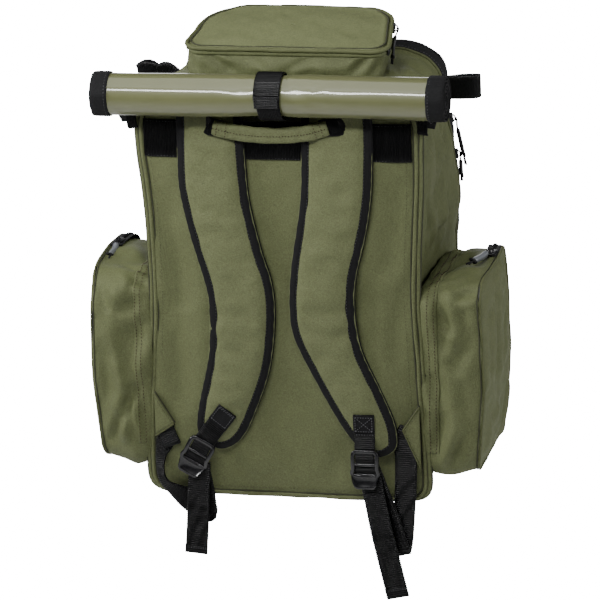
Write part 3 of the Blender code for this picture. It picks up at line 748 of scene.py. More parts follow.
def body_gusset():
    grid, out = gusset_at(np.concatenate([np.linspace(0, 0.12, 12), np.linspace(0.12, 1, 52)[1:]]))
    for sign in (1, -1):
        grid = creases(grid, out, (1, 2), WALL_CREASES, smooth(0.3, 0.8, out[..., 0] * sign))
    grid = creases(grid, out, (0, 1), TOP_CREASES, smooth(0.4, 0.9, out[..., 2]))
    sheet("body_gusset", grid, "olive", (0, 0, 0.27), "root", wrap_rows=True, solid=0.0016,
          replaces=("body_shell",))


body_gusset()

# creases in the back panel: x, z of both ends, width, depth
BACK_CREASES = [
    (-0.150, 0.410, -0.134, 0.250, 0.018, 0.0062), (-0.150, 0.270, -0.136, 0.110, 0.018, 0.0060),
    (0.156, 0.430, 0.138, 0.300, 0.014, 0.0030), (0.158, 0.300, 0.142, 0.180, 0.013, 0.0028),
    (-0.03, 0.11, 0.04, 0.02, 0.016, 0.0020), (-0.10, 0.07, -0.06, 0.012, 0.012, 0.0016),
    (0.08, 0.08, 0.05, 0.015, 0.012, 0.0016)]


def back_panel():
    rows = np.linspace(0, 1, 150)
    row_z = np.sort(0.0012 + (HEIGHT - 0.0024) * (rows - 0.055 * np.sin(4 * pi * rows) / pi))
    low_x = -rounded_half(row_z, back_right(row_z), BACK_TOP_RADIUS, BASE_RADIUS)
    high_x = rounded_half(row_z, back_left(row_z), BACK_TOP_RADIUS, BASE_RADIUS)
    middle, half = (low_x + high_x) / 2, (high_x - low_x) / 2 - 0.0012
    x = middle[:, None] + half[:, None] * toward_edges(110)[None]
    z = np.repeat(row_z[:, None], 110, 1)
    # roughly how far each point is from the edge
    side_gap = np.where(x < 0, back_right(z) + x, back_left(z) - x)
    gap = np.minimum(np.minimum(side_gap, HEIGHT - z), z)
    place = xyz(x, 0.0, z)
    puff = (0.0046 * (1 - np.exp(-np.clip(gap, 0, 1) / 0.014))
            + 0.0024 * waves(place * (1.0, 1, 0.75), 0.13, 21) * smooth(0.46, 0.30, z)
            * smooth(0, 0.05, gap)
            + 0.00055 * waves(place, 0.04, 22) * smooth(0, 0.03, gap)
            + 0.0016 * slack(place * (1.3, 1, 0.7), 0.11, 23) * smooth(0, 0.03, gap)
            * smooth(0.47, 0.42, z))
    grid = creases(xyz(x, -0.1296 - puff, z), BACK, (0, 2), BACK_CREASES)
    sheet("back_panel_cover", grid, "olive", (0, 0.1, 0.27), "root", replaces=("back_panel",))
    return grid


BACK_GRID = back_panel()


def on_back(xs, z, lift):
    """A level line on the back panel, lifted off it."""
    return np.array([(x, surface_y(BACK_GRID, x, z, lift), z) for x in xs])


def around(outline, y, grow):
    return ring(at_depth(outline + outward(outline) * grow, y))


def beside(y, left, right, level):
    """A line round the back edge, out by a different amount on each side of the pack and by
    level over the top and under the base."""
    out = outward(BACK_LOOP)
    share = smooth(0.35, 0.90, np.abs(out[:, 0]))
    amount = np.where(BACK_LOOP[:, 0] > 0, left, right) * share + level * (1 - share)
    path = BACK_LOOP + out * amount[:, None]
    kernel = np.array((1, 2, 3, 2, 1)) / 9.0
    path = np.concatenate([path[-2:], path, path[:2]])
    return at_depth(np.stack([np.convolve(column, kernel, "valid") for column in path.T], 1), y)


def back_piping():
    """Two cords side by side along the back edge, with a dark line each side of each: painted shade
    where the grooves beside the cords fall in shade.
    """
    bed = [beside(*row) for row in (
        (-0.1288, -0.0030, -0.0042, -0.0030), (-0.1296, 0.0006, -0.0012, -0.0006),
        (-0.1290, 0.0064, 0.0044, 0.0022), (-0.1270, 0.0108, 0.0088, 0.0030),
        (-0.1235, 0.0100, 0.0084, 0.0032))]
    wall = gusset_at([0.055, 0.080], 0.0006)[0]
    sheet("back_piping_bed", np.stack(bed + [wall[:, 0], wall[:, 1]], 1), "olive", (0, 0, 0.27),
          "root", wrap_rows=True)
    cord = ring(beside(-0.1304, 0.0034, 0.0014, 0.0006))
    tube("back_piping_cord", wobble(cord, 0.00035, 0.06, 5), 0.0027, "olive", BACK, "root",
         closed=True, sides=12, replaces=("back_piping",))
    ridge = ring(beside(-0.1288, 0.0091, 0.0070, 0.0024))
    tube("back_piping_ridge", wobble(ridge, 0.0004, 0.05, 15), 0.0025, "olive", BACK, "root",
         closed=True)
    # dark tubes in the grooves beside the cords: painted shade
    for name, row, radius in (
            ("inner_painted_shade", (-0.1306, 0.0000, -0.0021, -0.0028), 0.0012),
            ("groove", (-0.1300, 0.0064, 0.0043, 0.0026), 0.0011),
            ("outer_painted_shade", (-0.1278, 0.0118, 0.0098, 0.0034), 0.0013)):
        tube("back_piping_" + name, ring(beside(*row)), radius, "groove", BACK, "root",
             closed=True, sides=8)
    stitches("back_piping_thread", [(around(BACK_LOOP, -0.1329, -0.0085), BACK)], "thread_olive",
             "root", lift=-0.0002)


back_piping()
tube("base_seam", np.linspace((-0.160, -0.1262, -0.0026), (0.160, -0.1262, -0.0026), 60), 0.0024,
     "trim", BACK, "root")


def body_lining():
    """Inner cloth, seen with the door or a pocket open."""
    z, across = np.linspace(0.006, 0.534, 40), np.linspace(-1, 1, 30)
    half = np.minimum(*[rounded_half(z, side(z), BACK_TOP_RADIUS, BASE_RADIUS)
                        for side in (back_left, back_right)]) - 0.004
    place = xyz(z[:, None], across[None], 0.0)
    grid = xyz(across[None] * half[:, None], -0.1195 + 0.0010 * waves(place, 0.2, 4), z[:, None])
    sheet("body_lining_back", grid, "lining", (0, -0.3, 0.27), "root", solid=0.0006)


def base_cloth():
    x, y = np.meshgrid(np.linspace(-0.160, 0.160, 40), np.linspace(-0.118, 0.118, 30),
                       indexing="ij")
    z = -0.0016 - 0.0010 * waves(xyz(x, y, 0.0), 0.12, 31)
    sheet("base_cloth", xyz(x, y, z), "trim", (0, 0, 0.3), "root", solid=0.001)


body_lining()
base_cloth()


# ---------------------------------------------------------------- main zip round the front
def arc_above(z_low):
    """Front loop indices from +X at z_low, over the top, to -X at z_low."""
    x, z = FRONT_LOOP.T
    left = np.flatnonzero((x > 0.1) & (z >= z_low))
    right = np.flatnonzero((x < -0.1) & (z >= z_low))
    return np.arange(left.min(), right.max() + 1)


ARC = arc_above(0.046)


def zip_line(share, lift):
    """Points and out directions along the arc, at one share of the depth."""
    points, out = gusset_at([share], lift)
    return points[ARC, 0], out[ARC, 0]


def main_zip():
    lift, slot = 0.0016, 0.004      # height of the tapes; half the gap between them
    for name, start, end in (("rear", 0.878, ZIP_SHARE - slot), ("front", ZIP_SHARE + slot, 0.992)):
        points, out = gusset_at(np.linspace(start, end, 7), lift)
        points, out = points[ARC], out[ARC]
        for edge in (0, -1):        # both edges are tucked under the cloth
            points[:, edge] -= out[:, edge] * (lift + 0.0006)
        sheet("main_zip_tape_" + name, points, "tape", (0, 0, 0.27), "root", solid=0.0008)
    coil("main_zip_coil", *zip_line(ZIP_SHARE, 0.0014), "root", replaces=("main_zip",))
    tube("main_zip_seam_rear", resample(zip_line(0.874, 0.0006)[0], 0.004), 0.0021, "trim", BACK,
         "root")
    stitches("main_zip_thread", [zip_line(0.888, 0.0021)], "thread_black", "root")


main_zip()

# ---------------------------------------------------------------- webbing loops on the sides
# centre line of the loop on the +X side: x, y, z
SIDE_LOOP = [
    (0.1790, 0.0470, 0.505), (0.1880, 0.0472, 0.505), (0.2000, 0.0435, 0.506),
    (0.2130, 0.0420, 0.507), (0.2235, 0.0445, 0.507), (0.2280, 0.0520, 0.5068),
    (0.2270, 0.0590, 0.5065), (0.2170, 0.0612, 0.506), (0.2030, 0.0598, 0.5055),
    (0.1900, 0.0540, 0.505), (0.1790, 0.0520, 0.505)]

for side, sign in SIDES.items():
    line = np.array(SIDE_LOOP)
    if sign < 0:    # the right loop rides higher and arches
        line[:, 2] += 0.0030 + 0.0075 * np.abs(np.sin(pi * (line[:, 0] - 0.179) / 0.0245)) ** 0.8
    rows = with_out(line, np.cross(UP, tangents(line))) * (sign, 1, 1, sign, 1, 1)
    webbing("side_loop_web_" + side, rows, 0.0152, "root", thick=0.0016, pitch=0.0021,
            rib=0.00055, replaces=("side_loop_" + side,))

# ================================================================ back: band and shoulder straps
band = on_back(np.linspace(-0.1745, 0.1740, 26), 0.4785, 0.0012)
webbing("webbing_band_web", with_out(band, BACK), 0.0250, "root", thick=0.0016, pitch=0.0021,
        rib=0.00110, wave=0.004, replaces=("webbing_band",))
for z in (0.4555, 0.5010):
    stitches("band_thread_%d" % int(z * 1000),
             [(on_back(np.linspace(-0.170, 0.170, 40), z, 0.0024), BACK)], "thread_black",
             "root", radius=0.0003)

# outlines of the pads, down the outer edge and up the inner one: distance from the middle, z
PAD_EDGE = {
    "left": [
        (0.1250, 0.5160), (0.1252, 0.490), (0.1250, 0.4636), (0.1214, 0.407), (0.1119, 0.354),
        (0.0984, 0.300), (0.0956, 0.2545), (0.1031, 0.204), (0.1251, 0.153), (0.1405, 0.115),
        (0.1456, 0.092), (0.1437, 0.0724), (0.1275, 0.0607), (0.1080, 0.0615), (0.0936, 0.073),
        (0.0747, 0.098), (0.0461, 0.150), (0.0155, 0.215), (0.0098, 0.257), (0.0138, 0.311),
        (0.0255, 0.378), (0.0308, 0.4175), (0.0328, 0.4636), (0.0338, 0.490), (0.0345, 0.5160)],
    "right": [
        (0.1290, 0.5160), (0.1292, 0.490), (0.1295, 0.4636), (0.1301, 0.427), (0.1273, 0.400),
        (0.1165, 0.347), (0.0990, 0.280), (0.0966, 0.235), (0.1011, 0.185), (0.1142, 0.130),
        (0.1194, 0.100), (0.1165, 0.080), (0.0957, 0.0637), (0.0755, 0.0659), (0.0574, 0.082),
        (0.0415, 0.113), (0.0191, 0.175), (0.0099, 0.243), (0.0120, 0.290), (0.0246, 0.336),
        (0.0377, 0.402), (0.0413, 0.4636), (0.0425, 0.490), (0.0432, 0.5160)],
}
# creases in the pads: distance from the middle and z of both ends, width, depth
PAD_CREASES = {
    "left": [
        (0.104, 0.262, 0.030, 0.250, 0.010, 0.0012), (0.100, 0.235, 0.060, 0.215, 0.008, 0.0013),
        (0.112, 0.36, 0.060, 0.345, 0.010, 0.0009), (0.030, 0.405, 0.070, 0.395, 0.010, 0.0010),
        (0.115, 0.165, 0.080, 0.150, 0.009, 0.0010)],
    "right": [
        (0.104, 0.250, 0.035, 0.240, 0.010, 0.0012), (0.102, 0.215, 0.060, 0.200, 0.009, 0.0012),
        (0.115, 0.350, 0.070, 0.350, 0.010, 0.0009), (0.036, 0.400, 0.075, 0.385, 0.010, 0.0010),
        (0.105, 0.150, 0.070, 0.135, 0.009, 0.0010)],
}
PAD_INNER, PAD_OUTER = -0.1352, -0.1418     # y of both faces at the edge; the middle is thicker
# section of the tape folded over the pad's edge: distance in from the edge, y
BINDING_SECTION = np.array([
    (0.0118, PAD_OUTER + 0.0004), (0.0118, PAD_OUTER - 0.0019), (0.0108, PAD_OUTER - 0.0030),
    (0.0060, PAD_OUTER - 0.0026), (0.0020, PAD_OUTER - 0.0014), (0.0, PAD_OUTER + 0.0004),
    (-0.0008, (PAD_OUTER + PAD_INNER) / 2), (0.0, PAD_INNER - 0.0006),
    (0.0020, PAD_INNER + 0.0006), (0.0110, PAD_INNER + 0.0006), (0.0112, PAD_INNER - 0.0008)])


def pad_thinning(z):
    """How much thinner the pads get towards their upper ends."""
    return 0.0030 * smooth(0.455, 0.51, z)


def strap_blend(side):
    return "root", "strap_" + side, (0, 0, 0.500), (0, 0, 0.452)


def pad_body(side, sign, outline):
    # the outline is cut at its point farthest along the rounded end
    tip = int(np.argmax(outline @ unit((0.42 * sign, -1.0))))
    rows, columns = 190, 41
    outer, inner = spaced(outline[:tip + 1], rows), spaced(outline[tip:][::-1], rows)
    across = 0.5 - 0.5 * np.cos(pi * np.linspace(0, 1, columns))
    flat = outer[:, None] + (inner - outer)[:, None] * across[None, :, None]
    x, z = flat[..., 0], flat[..., 1]
    edge = np.linalg.norm(flat.reshape(-1, 2)[:, None] - outline[None], axis=2)
    edge = edge.min(axis=1).reshape(rows, columns)
    side_edge = np.minimum(np.abs(x - outer[:, None, 0]), np.abs(x - inner[:, None, 0]))
    edge = np.where(z > 0.5, side_edge, edge)
    place = xyz(x, 0.0, z)
    inside = smooth(0.008, 0.02, edge)
    rise = (0.0012 * smooth(0, 0.004, edge)
            + 0.0074 * (1 - np.exp(-np.clip(edge - 0.0085, 0, 1) / 0.0085)) - pad_thinning(z)
            + (0.0007 * waves(place * (1, 1, 1.5), 0.055, 40 + sign)
               + 0.0010 * slack(place * (0.8, 1, 1.5), 0.050, 46 + sign)) * inside
            + 0.0003 * waves(place, 0.022, 44 + sign) * inside)
    rows_3d = [(sign * x0, -0.150, z0, sign * x1, -0.150, z1, width, depth)
               for x0, z0, x1, z1, width, depth in PAD_CREASES[side]]
    face = creases(xyz(x, PAD_OUTER - rise, z), BACK, (0, 1, 2), rows_3d, ridge=0.5)
    # one closed skin: the outer face, then the inner one
    skin = np.concatenate([face, xyz(x, PAD_INNER, z)[:, ::-1]], 1)
    faces = turn_out(skin, grid_faces(rows, 2 * columns, False, True), (sign * 0.08, -0.139, 0.3))
    # the pads take the lighter olive copy: painted light
    make("shoulder_strap_" + side, skin, capped(faces, rows, 2 * columns), "olive_painted_light",
         replaces=("shoulder_pad_" + side, "strap_yoke_" + side), blend=strap_blend(side))
    return face


def pad_binding(side, outline):
    path = resample(at_depth(outline, 0.0), 0.0030)
    inward = np.cross(tangents(path), BACK)
    centre = outline.mean(0)
    if ((np.array((centre[0], 0, centre[1])) - path) * inward).sum() < 0:
        inward = -inward
    index = np.arange(len(path))
    ripple = 0.0003 * np.sin(index * 0.9) + 0.0002 * np.sin(index * 2.3)
    inset, y = BINDING_SECTION.T
    far_in = inset > 0.005
    place = path[:, None] + inward[:, None] * (inset + ripple[:, None] * far_in)[..., None]
    z = place[..., 2]
    verts = xyz(place[..., 0], y + pad_thinning(z) * (far_in & (y < -0.140)), z)
    make("strap_binding_" + side, verts, capped(tube_faces(verts), *verts.shape[:2]), "binding",
         replaces=("shoulder_binding_" + side,), blend=strap_blend(side))
    seam = path + inward * 0.0098
    seam = xyz(seam[:, 0], PAD_OUTER - 0.0029 + pad_thinning(seam[:, 2]), seam[:, 2])
    stitches("strap_thread_" + side, [(seam, BACK)], "thread_black", radius=0.00032,
             blend=strap_blend(side))


def shoulder_pad(side, sign):
    edge = spline([(sign * x, 0.0, z) for x, z in PAD_EDGE[side]], 0.003)
    outline = edge[:, [0, 2]]
    face = pad_body(side, sign, outline)
    pad_binding(side, outline)
    return face


PADS = {side: shoulder_pad(side, sign) for side, sign in SIDES.items()}

# ---------------------------------------------------------------- buckles
BUCKLE_WIDTH, BUCKLE_LENGTH = 0.0365, 0.0530
BUCKLE_Y = -0.1535
# x and z of the middle of the upper end, and lean from the vertical
BUCKLES = {"left": (0.1054, 0.0735, 0.0), "right": (-0.1070, 0.0785, radians(-28.8))}
# x, z on the webbing between pad and buckle
PAD_WEB = {"left": (0.1050, 0.1060), "right": (-0.0835, 0.1080)}


def buckle_frame(side):
    """A function from (across, down, out) of the buckle to a place, and the across direction."""
    x, z, lean = BUCKLES[side]
    down = np.array((sin(lean), 0, -cos(lean)))
    across = np.array((cos(lean), 0, sin(lean)))
    top = np.array((x, BUCKLE_Y, z))

    def at(u, v, w=0.0):
        u, v, w = (np.asarray(value, float)[..., None] for value in (u, v, w))
        return top + across * u + down * v + BACK * w

    return at, across


def buckle(side):
    at, across = buckle_frame(side)
    body = "buckle_" + side
    # closed outer bar, which bows away from the strap in the middle of its height
    half, radius = BUCKLE_WIDTH / 2 - 0.0024, 0.0055
    line = []
    for centre, start, end in ((radius - half, pi, pi / 2), (half - radius, pi / 2, 0)):
        for angle in np.linspace(start, end, 7):
            line.append((centre + radius * cos(angle), 0.0024 + radius - radius * sin(angle)))
    line += [(half, 0.016), (half - 0.0003, 0.024), (half - 0.0010, 0.035),
             (-half + 0.0010, 0.035), (-half + 0.0003, 0.024), (-half, 0.016)]
    u, v = np.array(line).T
    path = at(u, v, 0.0022 * np.sin(pi * np.clip(v / 0.040, 0, 1)))
    sweep("buckle_frame_" + side, spline(path, 0.0010, closed=True),
          squared_oval(0.0027, 0.0033, 0.55, 0.6, 16), "plastic", BACK, body, closed=True,
          replaces=(body,))
    # cross bars: distance down, radius, distance out
    u = np.linspace(-half, half, 30)
    for i, (v, radius, lift) in enumerate(((0.0200, 0.0023, 0.0012), (0.0345, 0.0028, 0.0))):
        tube("buckle_bar_%s_%d" % (side, i), at(u, v, lift + 0.0010 * (1 - (u / half) ** 2)),
             radius, "plastic", BACK, body, sides=12)
    buckle_lip(side, at, half)
    # small nub at one lower corner of the frame
    nub = at(half - 0.0030, 0.0345, [0.0022, 0.0050])
    tube("buckle_nub_" + side, spline(nub, 0.0004), 0.0016, "plastic", across, body)
    # webbing between the bars: distance down at both ends, distance out, half-width
    share = np.linspace(0, 1, 9)
    for i, (v0, v1, lift, width) in enumerate(((0.0040, 0.0185, 0.0014, 0.0125),
                                               (0.0222, 0.0325, 0.0000, 0.0140))):
        points = at(0, v0 + (v1 - v0) * share, lift + 0.0016 * np.sin(pi * share))
        webbing("buckle_wrap_%s_%d" % (side, i), with_out(points, BACK), width, body,
                pitch=0.0024, rib=0.0008)


def buckle_lip(side, at, half):
    """A broad plate at the lower end that curls away from the webbing."""
    across, share = np.linspace(-1, 1, 33)[:, None], np.linspace(0, 1, 25)[None]
    start, corner = 0.0325, 0.0090
    bend = np.maximum(0, (np.abs(across) - 0.55) / 0.45)
    end = BUCKLE_LENGTH - 0.0006 - corner * (1 - np.sqrt(np.maximum(0, 1 - bend ** 2)))
    u = across * (half + 0.0022 - 0.0026 * share ** 1.7)
    v = start + (end - start) * share
    dish = 0.0042 * (1 - across ** 2) * np.sin(pi * share * 0.95)
    out = (0.0034 + 0.0042 * share ** 1.2 - dish * 0.8 + 0.0012 * across ** 4
           - 0.0016 * smooth(0.85, 1.0, share))
    skin = np.concatenate([at(u, v, out), at(u, v, out - 0.0030 + 0.0008 * share)[:, ::-1]], 1)
    rows, columns = skin.shape[:2]
    faces = turn_out(skin, grid_faces(rows, columns, False, True), at(0, 0.043, 0.002))
    make("buckle_lip_" + side, skin, capped(faces, rows, columns), "plastic", "buckle_" + side)


def buckle_strap(side):
    """Webbing from the pad to the buckle, with a doubled, box-stitched end on the pad."""
    at, _ = buckle_frame(side)
    pad, body = PADS[side], "strap_" + side
    end = at(0, 0.004, -0.0004)
    start = np.array((PAD_WEB[side][0], 0, PAD_WEB[side][1]))
    run = unit(end * (1, 0, 1) - start)
    start = start - run * 0.014
    length = np.linalg.norm(end * (1, 0, 1) - start)

    def pad_y(distance, lift):
        place = start + run * distance
        return surface_y(pad, place[0], place[2], lift)

    leave = 0.62    # share of the length at which the webbing leaves the pad
    points = []
    for share in np.linspace(0, 1, 14):
        place = start + run * length * share
        if share < leave:
            y = pad_y(length * share, 0.0010)
        else:
            free = (share - leave) / (1 - leave)
            y = pad_y(length * 0.60, 0.0010)
            y += (end[1] - y) * free - 0.0008 * sin(pi * free)
        points.append((place[0], y, place[2]))
    webbing("buckle_web_" + side, with_out(points, BACK), 0.0135, body, thick=0.0016,
            pitch=0.0025, rib=0.0011, replaces=("buckle_webbing_" + side,))

    aside = np.cross(run, BACK)

    def on_patch(u, v, lift=0.0):
        place = start + run * v + aside * u
        return place[0], pad_y(v, 0.0028 + lift), place[2]

    patch = [on_patch(0, v) for v in np.linspace(0.0005, 0.0240, 8)]
    webbing("buckle_patch_" + side, with_out(patch, BACK), 0.0140, body, "binding", pitch=0.0023,
            rib=0.00025)
    # rows of thread: across and along at both ends, lift
    u, v0, v1 = 0.011, 0.003, 0.0215
    lines = [(-u, v0, u, v0, 0.0009), (u, v0, u, v1, 0.0009), (u, v1, -u, v1, 0.0009),
             (-u, v1, -u, v0, 0.0009)]
    if side == "left":      # crossed box and a row past it
        lines += [(-u, v0, u, v1, 0.0009), (u, v0, -u, v1, 0.0009),
                  (-0.012, 0.0262, 0.012, 0.0262, 0.0002)]
    else:
        lines += [(-0.012, 0.0012, 0.012, 0.0012, 0.0009)]
    paths = [[on_patch(u0 + (u1 - u0) * share, v0 + (v1 - v0) * share, lift)
              for share in np.linspace(0, 1, 9)] for u0, v0, u1, v1, lift in lines]
    stitches("buckle_patch_thread_" + side, [(path, BACK) for path in paths], "thread_black",
             body, length=0.0028, gap=0.0006, radius=0.00060, lift=0.0008)


# free webbing below the buckles: x, z at the buckle and at the end
TAILS = {"left": ((0.1153, 0.0170), (0.1437, -0.1280)),
         "right": ((-0.1169, 0.0275), (-0.1250, -0.0787))}


def free_tail(side, sign):
    start, end = (np.array((x, 0, z)) for x, z in TAILS[side])
    run = unit(end - start)
    aside = np.cross(run, BACK)
    start = start - run * 0.020
    share = np.linspace(0, 1, 26)[:, None]
    arch = np.sin(pi * share)
    place = start + run * np.linalg.norm(end - start) * share + aside * (0.0010 * arch * sign)
    lift = (0.0016 + 0.0045 * smooth(0.05, 0.5, share) * arch
            + 0.0016 * np.sin(2.3 * pi * share))[:, 0]
    twist = radians(5) * np.sin(1.7 * pi * share + 0.4)
    points = xyz(place[:, 0], BUCKLE_Y + 0.0030 - lift, place[:, 2])
    rows = with_out(points, BACK * np.cos(twist) + aside * np.sin(twist))
    webbing("tail_web_" + side, rows, 0.0148, thick=0.0015, rib=0.00125, wave=0.034,
            replaces=("webbing_tail_" + side,),
            blend=("buckle_" + side, "tail_" + side, first_three(rows[1]), first_three(rows[11])))
    # folded end
    hem = rows[-3:].copy()
    hem[:, :3] += hem[:, 3:] * 0.0017
    webbing("tail_hem_" + side, hem, 0.0147, "tail_" + side, rib=0.0007, wave=0.025)
    middle = rows[-3, :3] + rows[-3, 3:] * 0.0032
    lines = [(np.linspace(middle - aside * 0.0135, middle + aside * 0.0135, 9) + run * along, BACK)
             for along in (0.0005, 0.0022)]
    stitches("tail_thread_" + side, lines, "thread_black", "tail_" + side, length=0.0022,
             gap=0.0009, radius=0.0003)


# ---------------------------------------------------------------- lower webbing and corner tabs
# two edges of the webbing, from under the corner tab round to behind the buckle:
# x, y, z of the outer edge, x, y, z of the inner edge
LOWER = {
    "left": [
        (0.1700, -0.1345, 0.0990, 0.1490, -0.1345, 0.1015),
        (0.1695, -0.1355, 0.0830, 0.1410, -0.1352, 0.0880),
        (0.1705, -0.1372, 0.0620, 0.1412, -0.1362, 0.0640),
        (0.1700, -0.1392, 0.0350, 0.1410, -0.1378, 0.0330),
        (0.1682, -0.1404, 0.0060, 0.1396, -0.1390, 0.0020),
        (0.1655, -0.1412, -0.0260, 0.1376, -0.1398, -0.0320),
        (0.1628, -0.1418, -0.0500, 0.1352, -0.1404, -0.0580),
        (0.1606, -0.1428, -0.0640, 0.1335, -0.1418, -0.0692),
        (0.1600, -0.1446, -0.0662, 0.1330, -0.1438, -0.0712),
        (0.1588, -0.1464, -0.0600, 0.1318, -0.1460, -0.0660),
        (0.1520, -0.1470, -0.0420, 0.1240, -0.1468, -0.0360),
        (0.1425, -0.1478, -0.0140, 0.1150, -0.1476, -0.0040),
        (0.1335, -0.1486, 0.0140, 0.1050, -0.1484, 0.0220),
        (0.1275, -0.1494, 0.0340, 0.0985, -0.1492, 0.0400),
        (0.1235, -0.1502, 0.0470, 0.0945, -0.1500, 0.0510),
        (0.1205, -0.1506, 0.0560, 0.0925, -0.1504, 0.0600)],
    "right": [
        (-0.1750, -0.1338, 0.0800, -0.1500, -0.1338, 0.0720),
        (-0.1776, -0.1344, 0.0650, -0.1560, -0.1348, 0.0600),
        (-0.1779, -0.1356, 0.0540, -0.1625, -0.1380, 0.0510),
        (-0.1772, -0.1400, 0.0400, -0.1650, -0.1450, 0.0390),
        (-0.1748, -0.1430, 0.0240, -0.1636, -0.1490, 0.0265),
        (-0.1690, -0.1420, 0.0085, -0.1595, -0.1480, 0.0185),
        (-0.1590, -0.1405, -0.0045, -0.1490, -0.1430, 0.0120),
        (-0.1430, -0.1400, -0.0200, -0.1380, -0.1404, 0.0080),
        (-0.1290, -0.1404, -0.0310, -0.1230, -0.1402, -0.0030),
        (-0.1120, -0.1416, -0.0350, -0.1060, -0.1412, -0.0080),
        (-0.1080, -0.1432, -0.0345, -0.0990, -0.1428, -0.0290),
        (-0.1230, -0.1446, -0.0250, -0.0965, -0.1444, -0.0270),
        (-0.1265, -0.1460, -0.0020, -0.0975, -0.1458, -0.0040),
        (-0.1290, -0.1474, 0.0180, -0.1005, -0.1472, 0.0220),
        (-0.1330, -0.1488, 0.0340, -0.1045, -0.1486, 0.0440),
        (-0.1365, -0.1494, 0.0440, -0.1080, -0.1492, 0.0550)],
}
# short piece under the right tab: x, y, z, out direction
LOWER_END_RIGHT = [
    (-0.1668, -0.1350, 0.0945, 0, -1, 0), (-0.1640, -0.1356, 0.0880, 0, -1, 0),
    (-0.1595, -0.1374, 0.0775, 0.06, -1, -0.05), (-0.1545, -0.1392, 0.0665, 0.10, -1, -0.10),
    (-0.1538, -0.1384, 0.0650, 0.2, -0.7, -0.7)]
# corners of the tabs: x, z of the upper outer, inner and lower outer one
TABS = {"left": [(0.1755, 0.1290), (0.1530, 0.0965), (0.1760, 0.0440)],
        "right": [(-0.1762, 0.1350), (-0.1512, 0.0935), (-0.1768, 0.0765)]}


def lower_webbing(side):
    edges = np.array(LOWER[side]).reshape(-1, 2, 3)
    centre = edges.mean(1)
    width = edges[:, 1] - edges[:, 0]
    out = unit(np.cross(width, tangents(centre)))
    before = BACK
    for i in range(len(out)):       # keep to one face of the webbing through the folds
        if out[i] @ before < 0:
            out[i] = -out[i]
        before = out[i]
    rows = np.concatenate([centre, out, np.linalg.norm(width, axis=1)[:, None] / 2], 1)
    webbing("lower_web_" + side, rows, None, rib=0.00110, wave=0.020,
            replaces=("lower_webbing_" + side,),
            blend=("root", "strap_" + side, first_three(centre[1]), first_three(centre[-1])))
    if side == "right":
        webbing("lower_web_end_right", LOWER_END_RIGHT, 0.0112, "root", rib=0.0010, wave=0.02)


def corner_tab(side):
    """A folded triangle of cloth over the end of the lower webbing."""
    corners = np.array(TABS[side])
    count = 16
    verts, faces, index = [], [], {}
    for i in range(count + 1):
        for j in range(count + 1 - i):
            a, b = i / count, j / count
            index[i, j] = len(verts)
            x, z = corners[0] * (1 - a - b) + corners[1] * a + corners[2] * b
            y = (-0.1372 - 0.0010 * (1 - exp(-a * 6))
                 - 0.0010 * smooth(0, 0.12, min(1 - a - b, b) + 0.03))
            verts.append((x, y, z))
    for i in range(count):
        for j in range(count - i):
            faces.append((index[i, j], index[i + 1, j], index[i, j + 1]))
            if i + j < count - 1:
                faces.append((index[i + 1, j], index[i + 1, j + 1], index[i, j + 1]))
    first, second, third = np.array(verts)[np.array(faces)].transpose(1, 0, 2)
    if np.cross(second - first, third - first).sum(0) @ BACK < 0:
        faces = [face[::-1] for face in faces]
    make("corner_tab_cloth_" + side, verts, faces, "olive", "root", solid=0.0016,
         replaces=("corner_tab_" + side,))
    middle = corners.mean(0)
    # round each free edge: a bright cord, then a dark line just outside it, painted shade along the
    # fold
    for part, y, radius, key, shift in (("edge", -0.1386, 0.0011, "trim", 0.0),
                                        ("shade", -0.1358, 0.0013, "groove", 0.0011)):
        for i, name in enumerate(("upper", "lower")):
            away = unit(corners[[i, i + 1]].mean(0) - middle) * shift
            line = np.linspace(corners[i], corners[i + 1], 16) + away
            tube("corner_tab_%s_%s_%s" % (part, name, side), at_depth(line, y), radius, key,
                 BACK, "root")
    inset = middle + (corners - middle) * 0.80
    lines = [(at_depth(np.linspace(inset[i], inset[i + 1], 12), -0.1398), BACK) for i in (0, 1)]
    stitches("corner_tab_thread_" + side, lines, "thread_olive", "root")


for side, sign in SIDES.items():
    buckle(side)
    buckle_strap(side)
    free_tail(side, sign)
    lower_webbing(side)
    corner_tab(side)

# ---------------------------------------------------------------- carry handle
# centre line of the grip, from -X to +X
GRIP = [(-0.0785, -0.1500, 0.4985), (-0.060, -0.1512, 0.4945), (-0.035, -0.1518, 0.4912),
        (-0.008, -0.1520, 0.4898), (0.020, -0.1518, 0.4908), (0.046, -0.1512, 0.4942),
        (0.0705, -0.1500, 0.5012)]


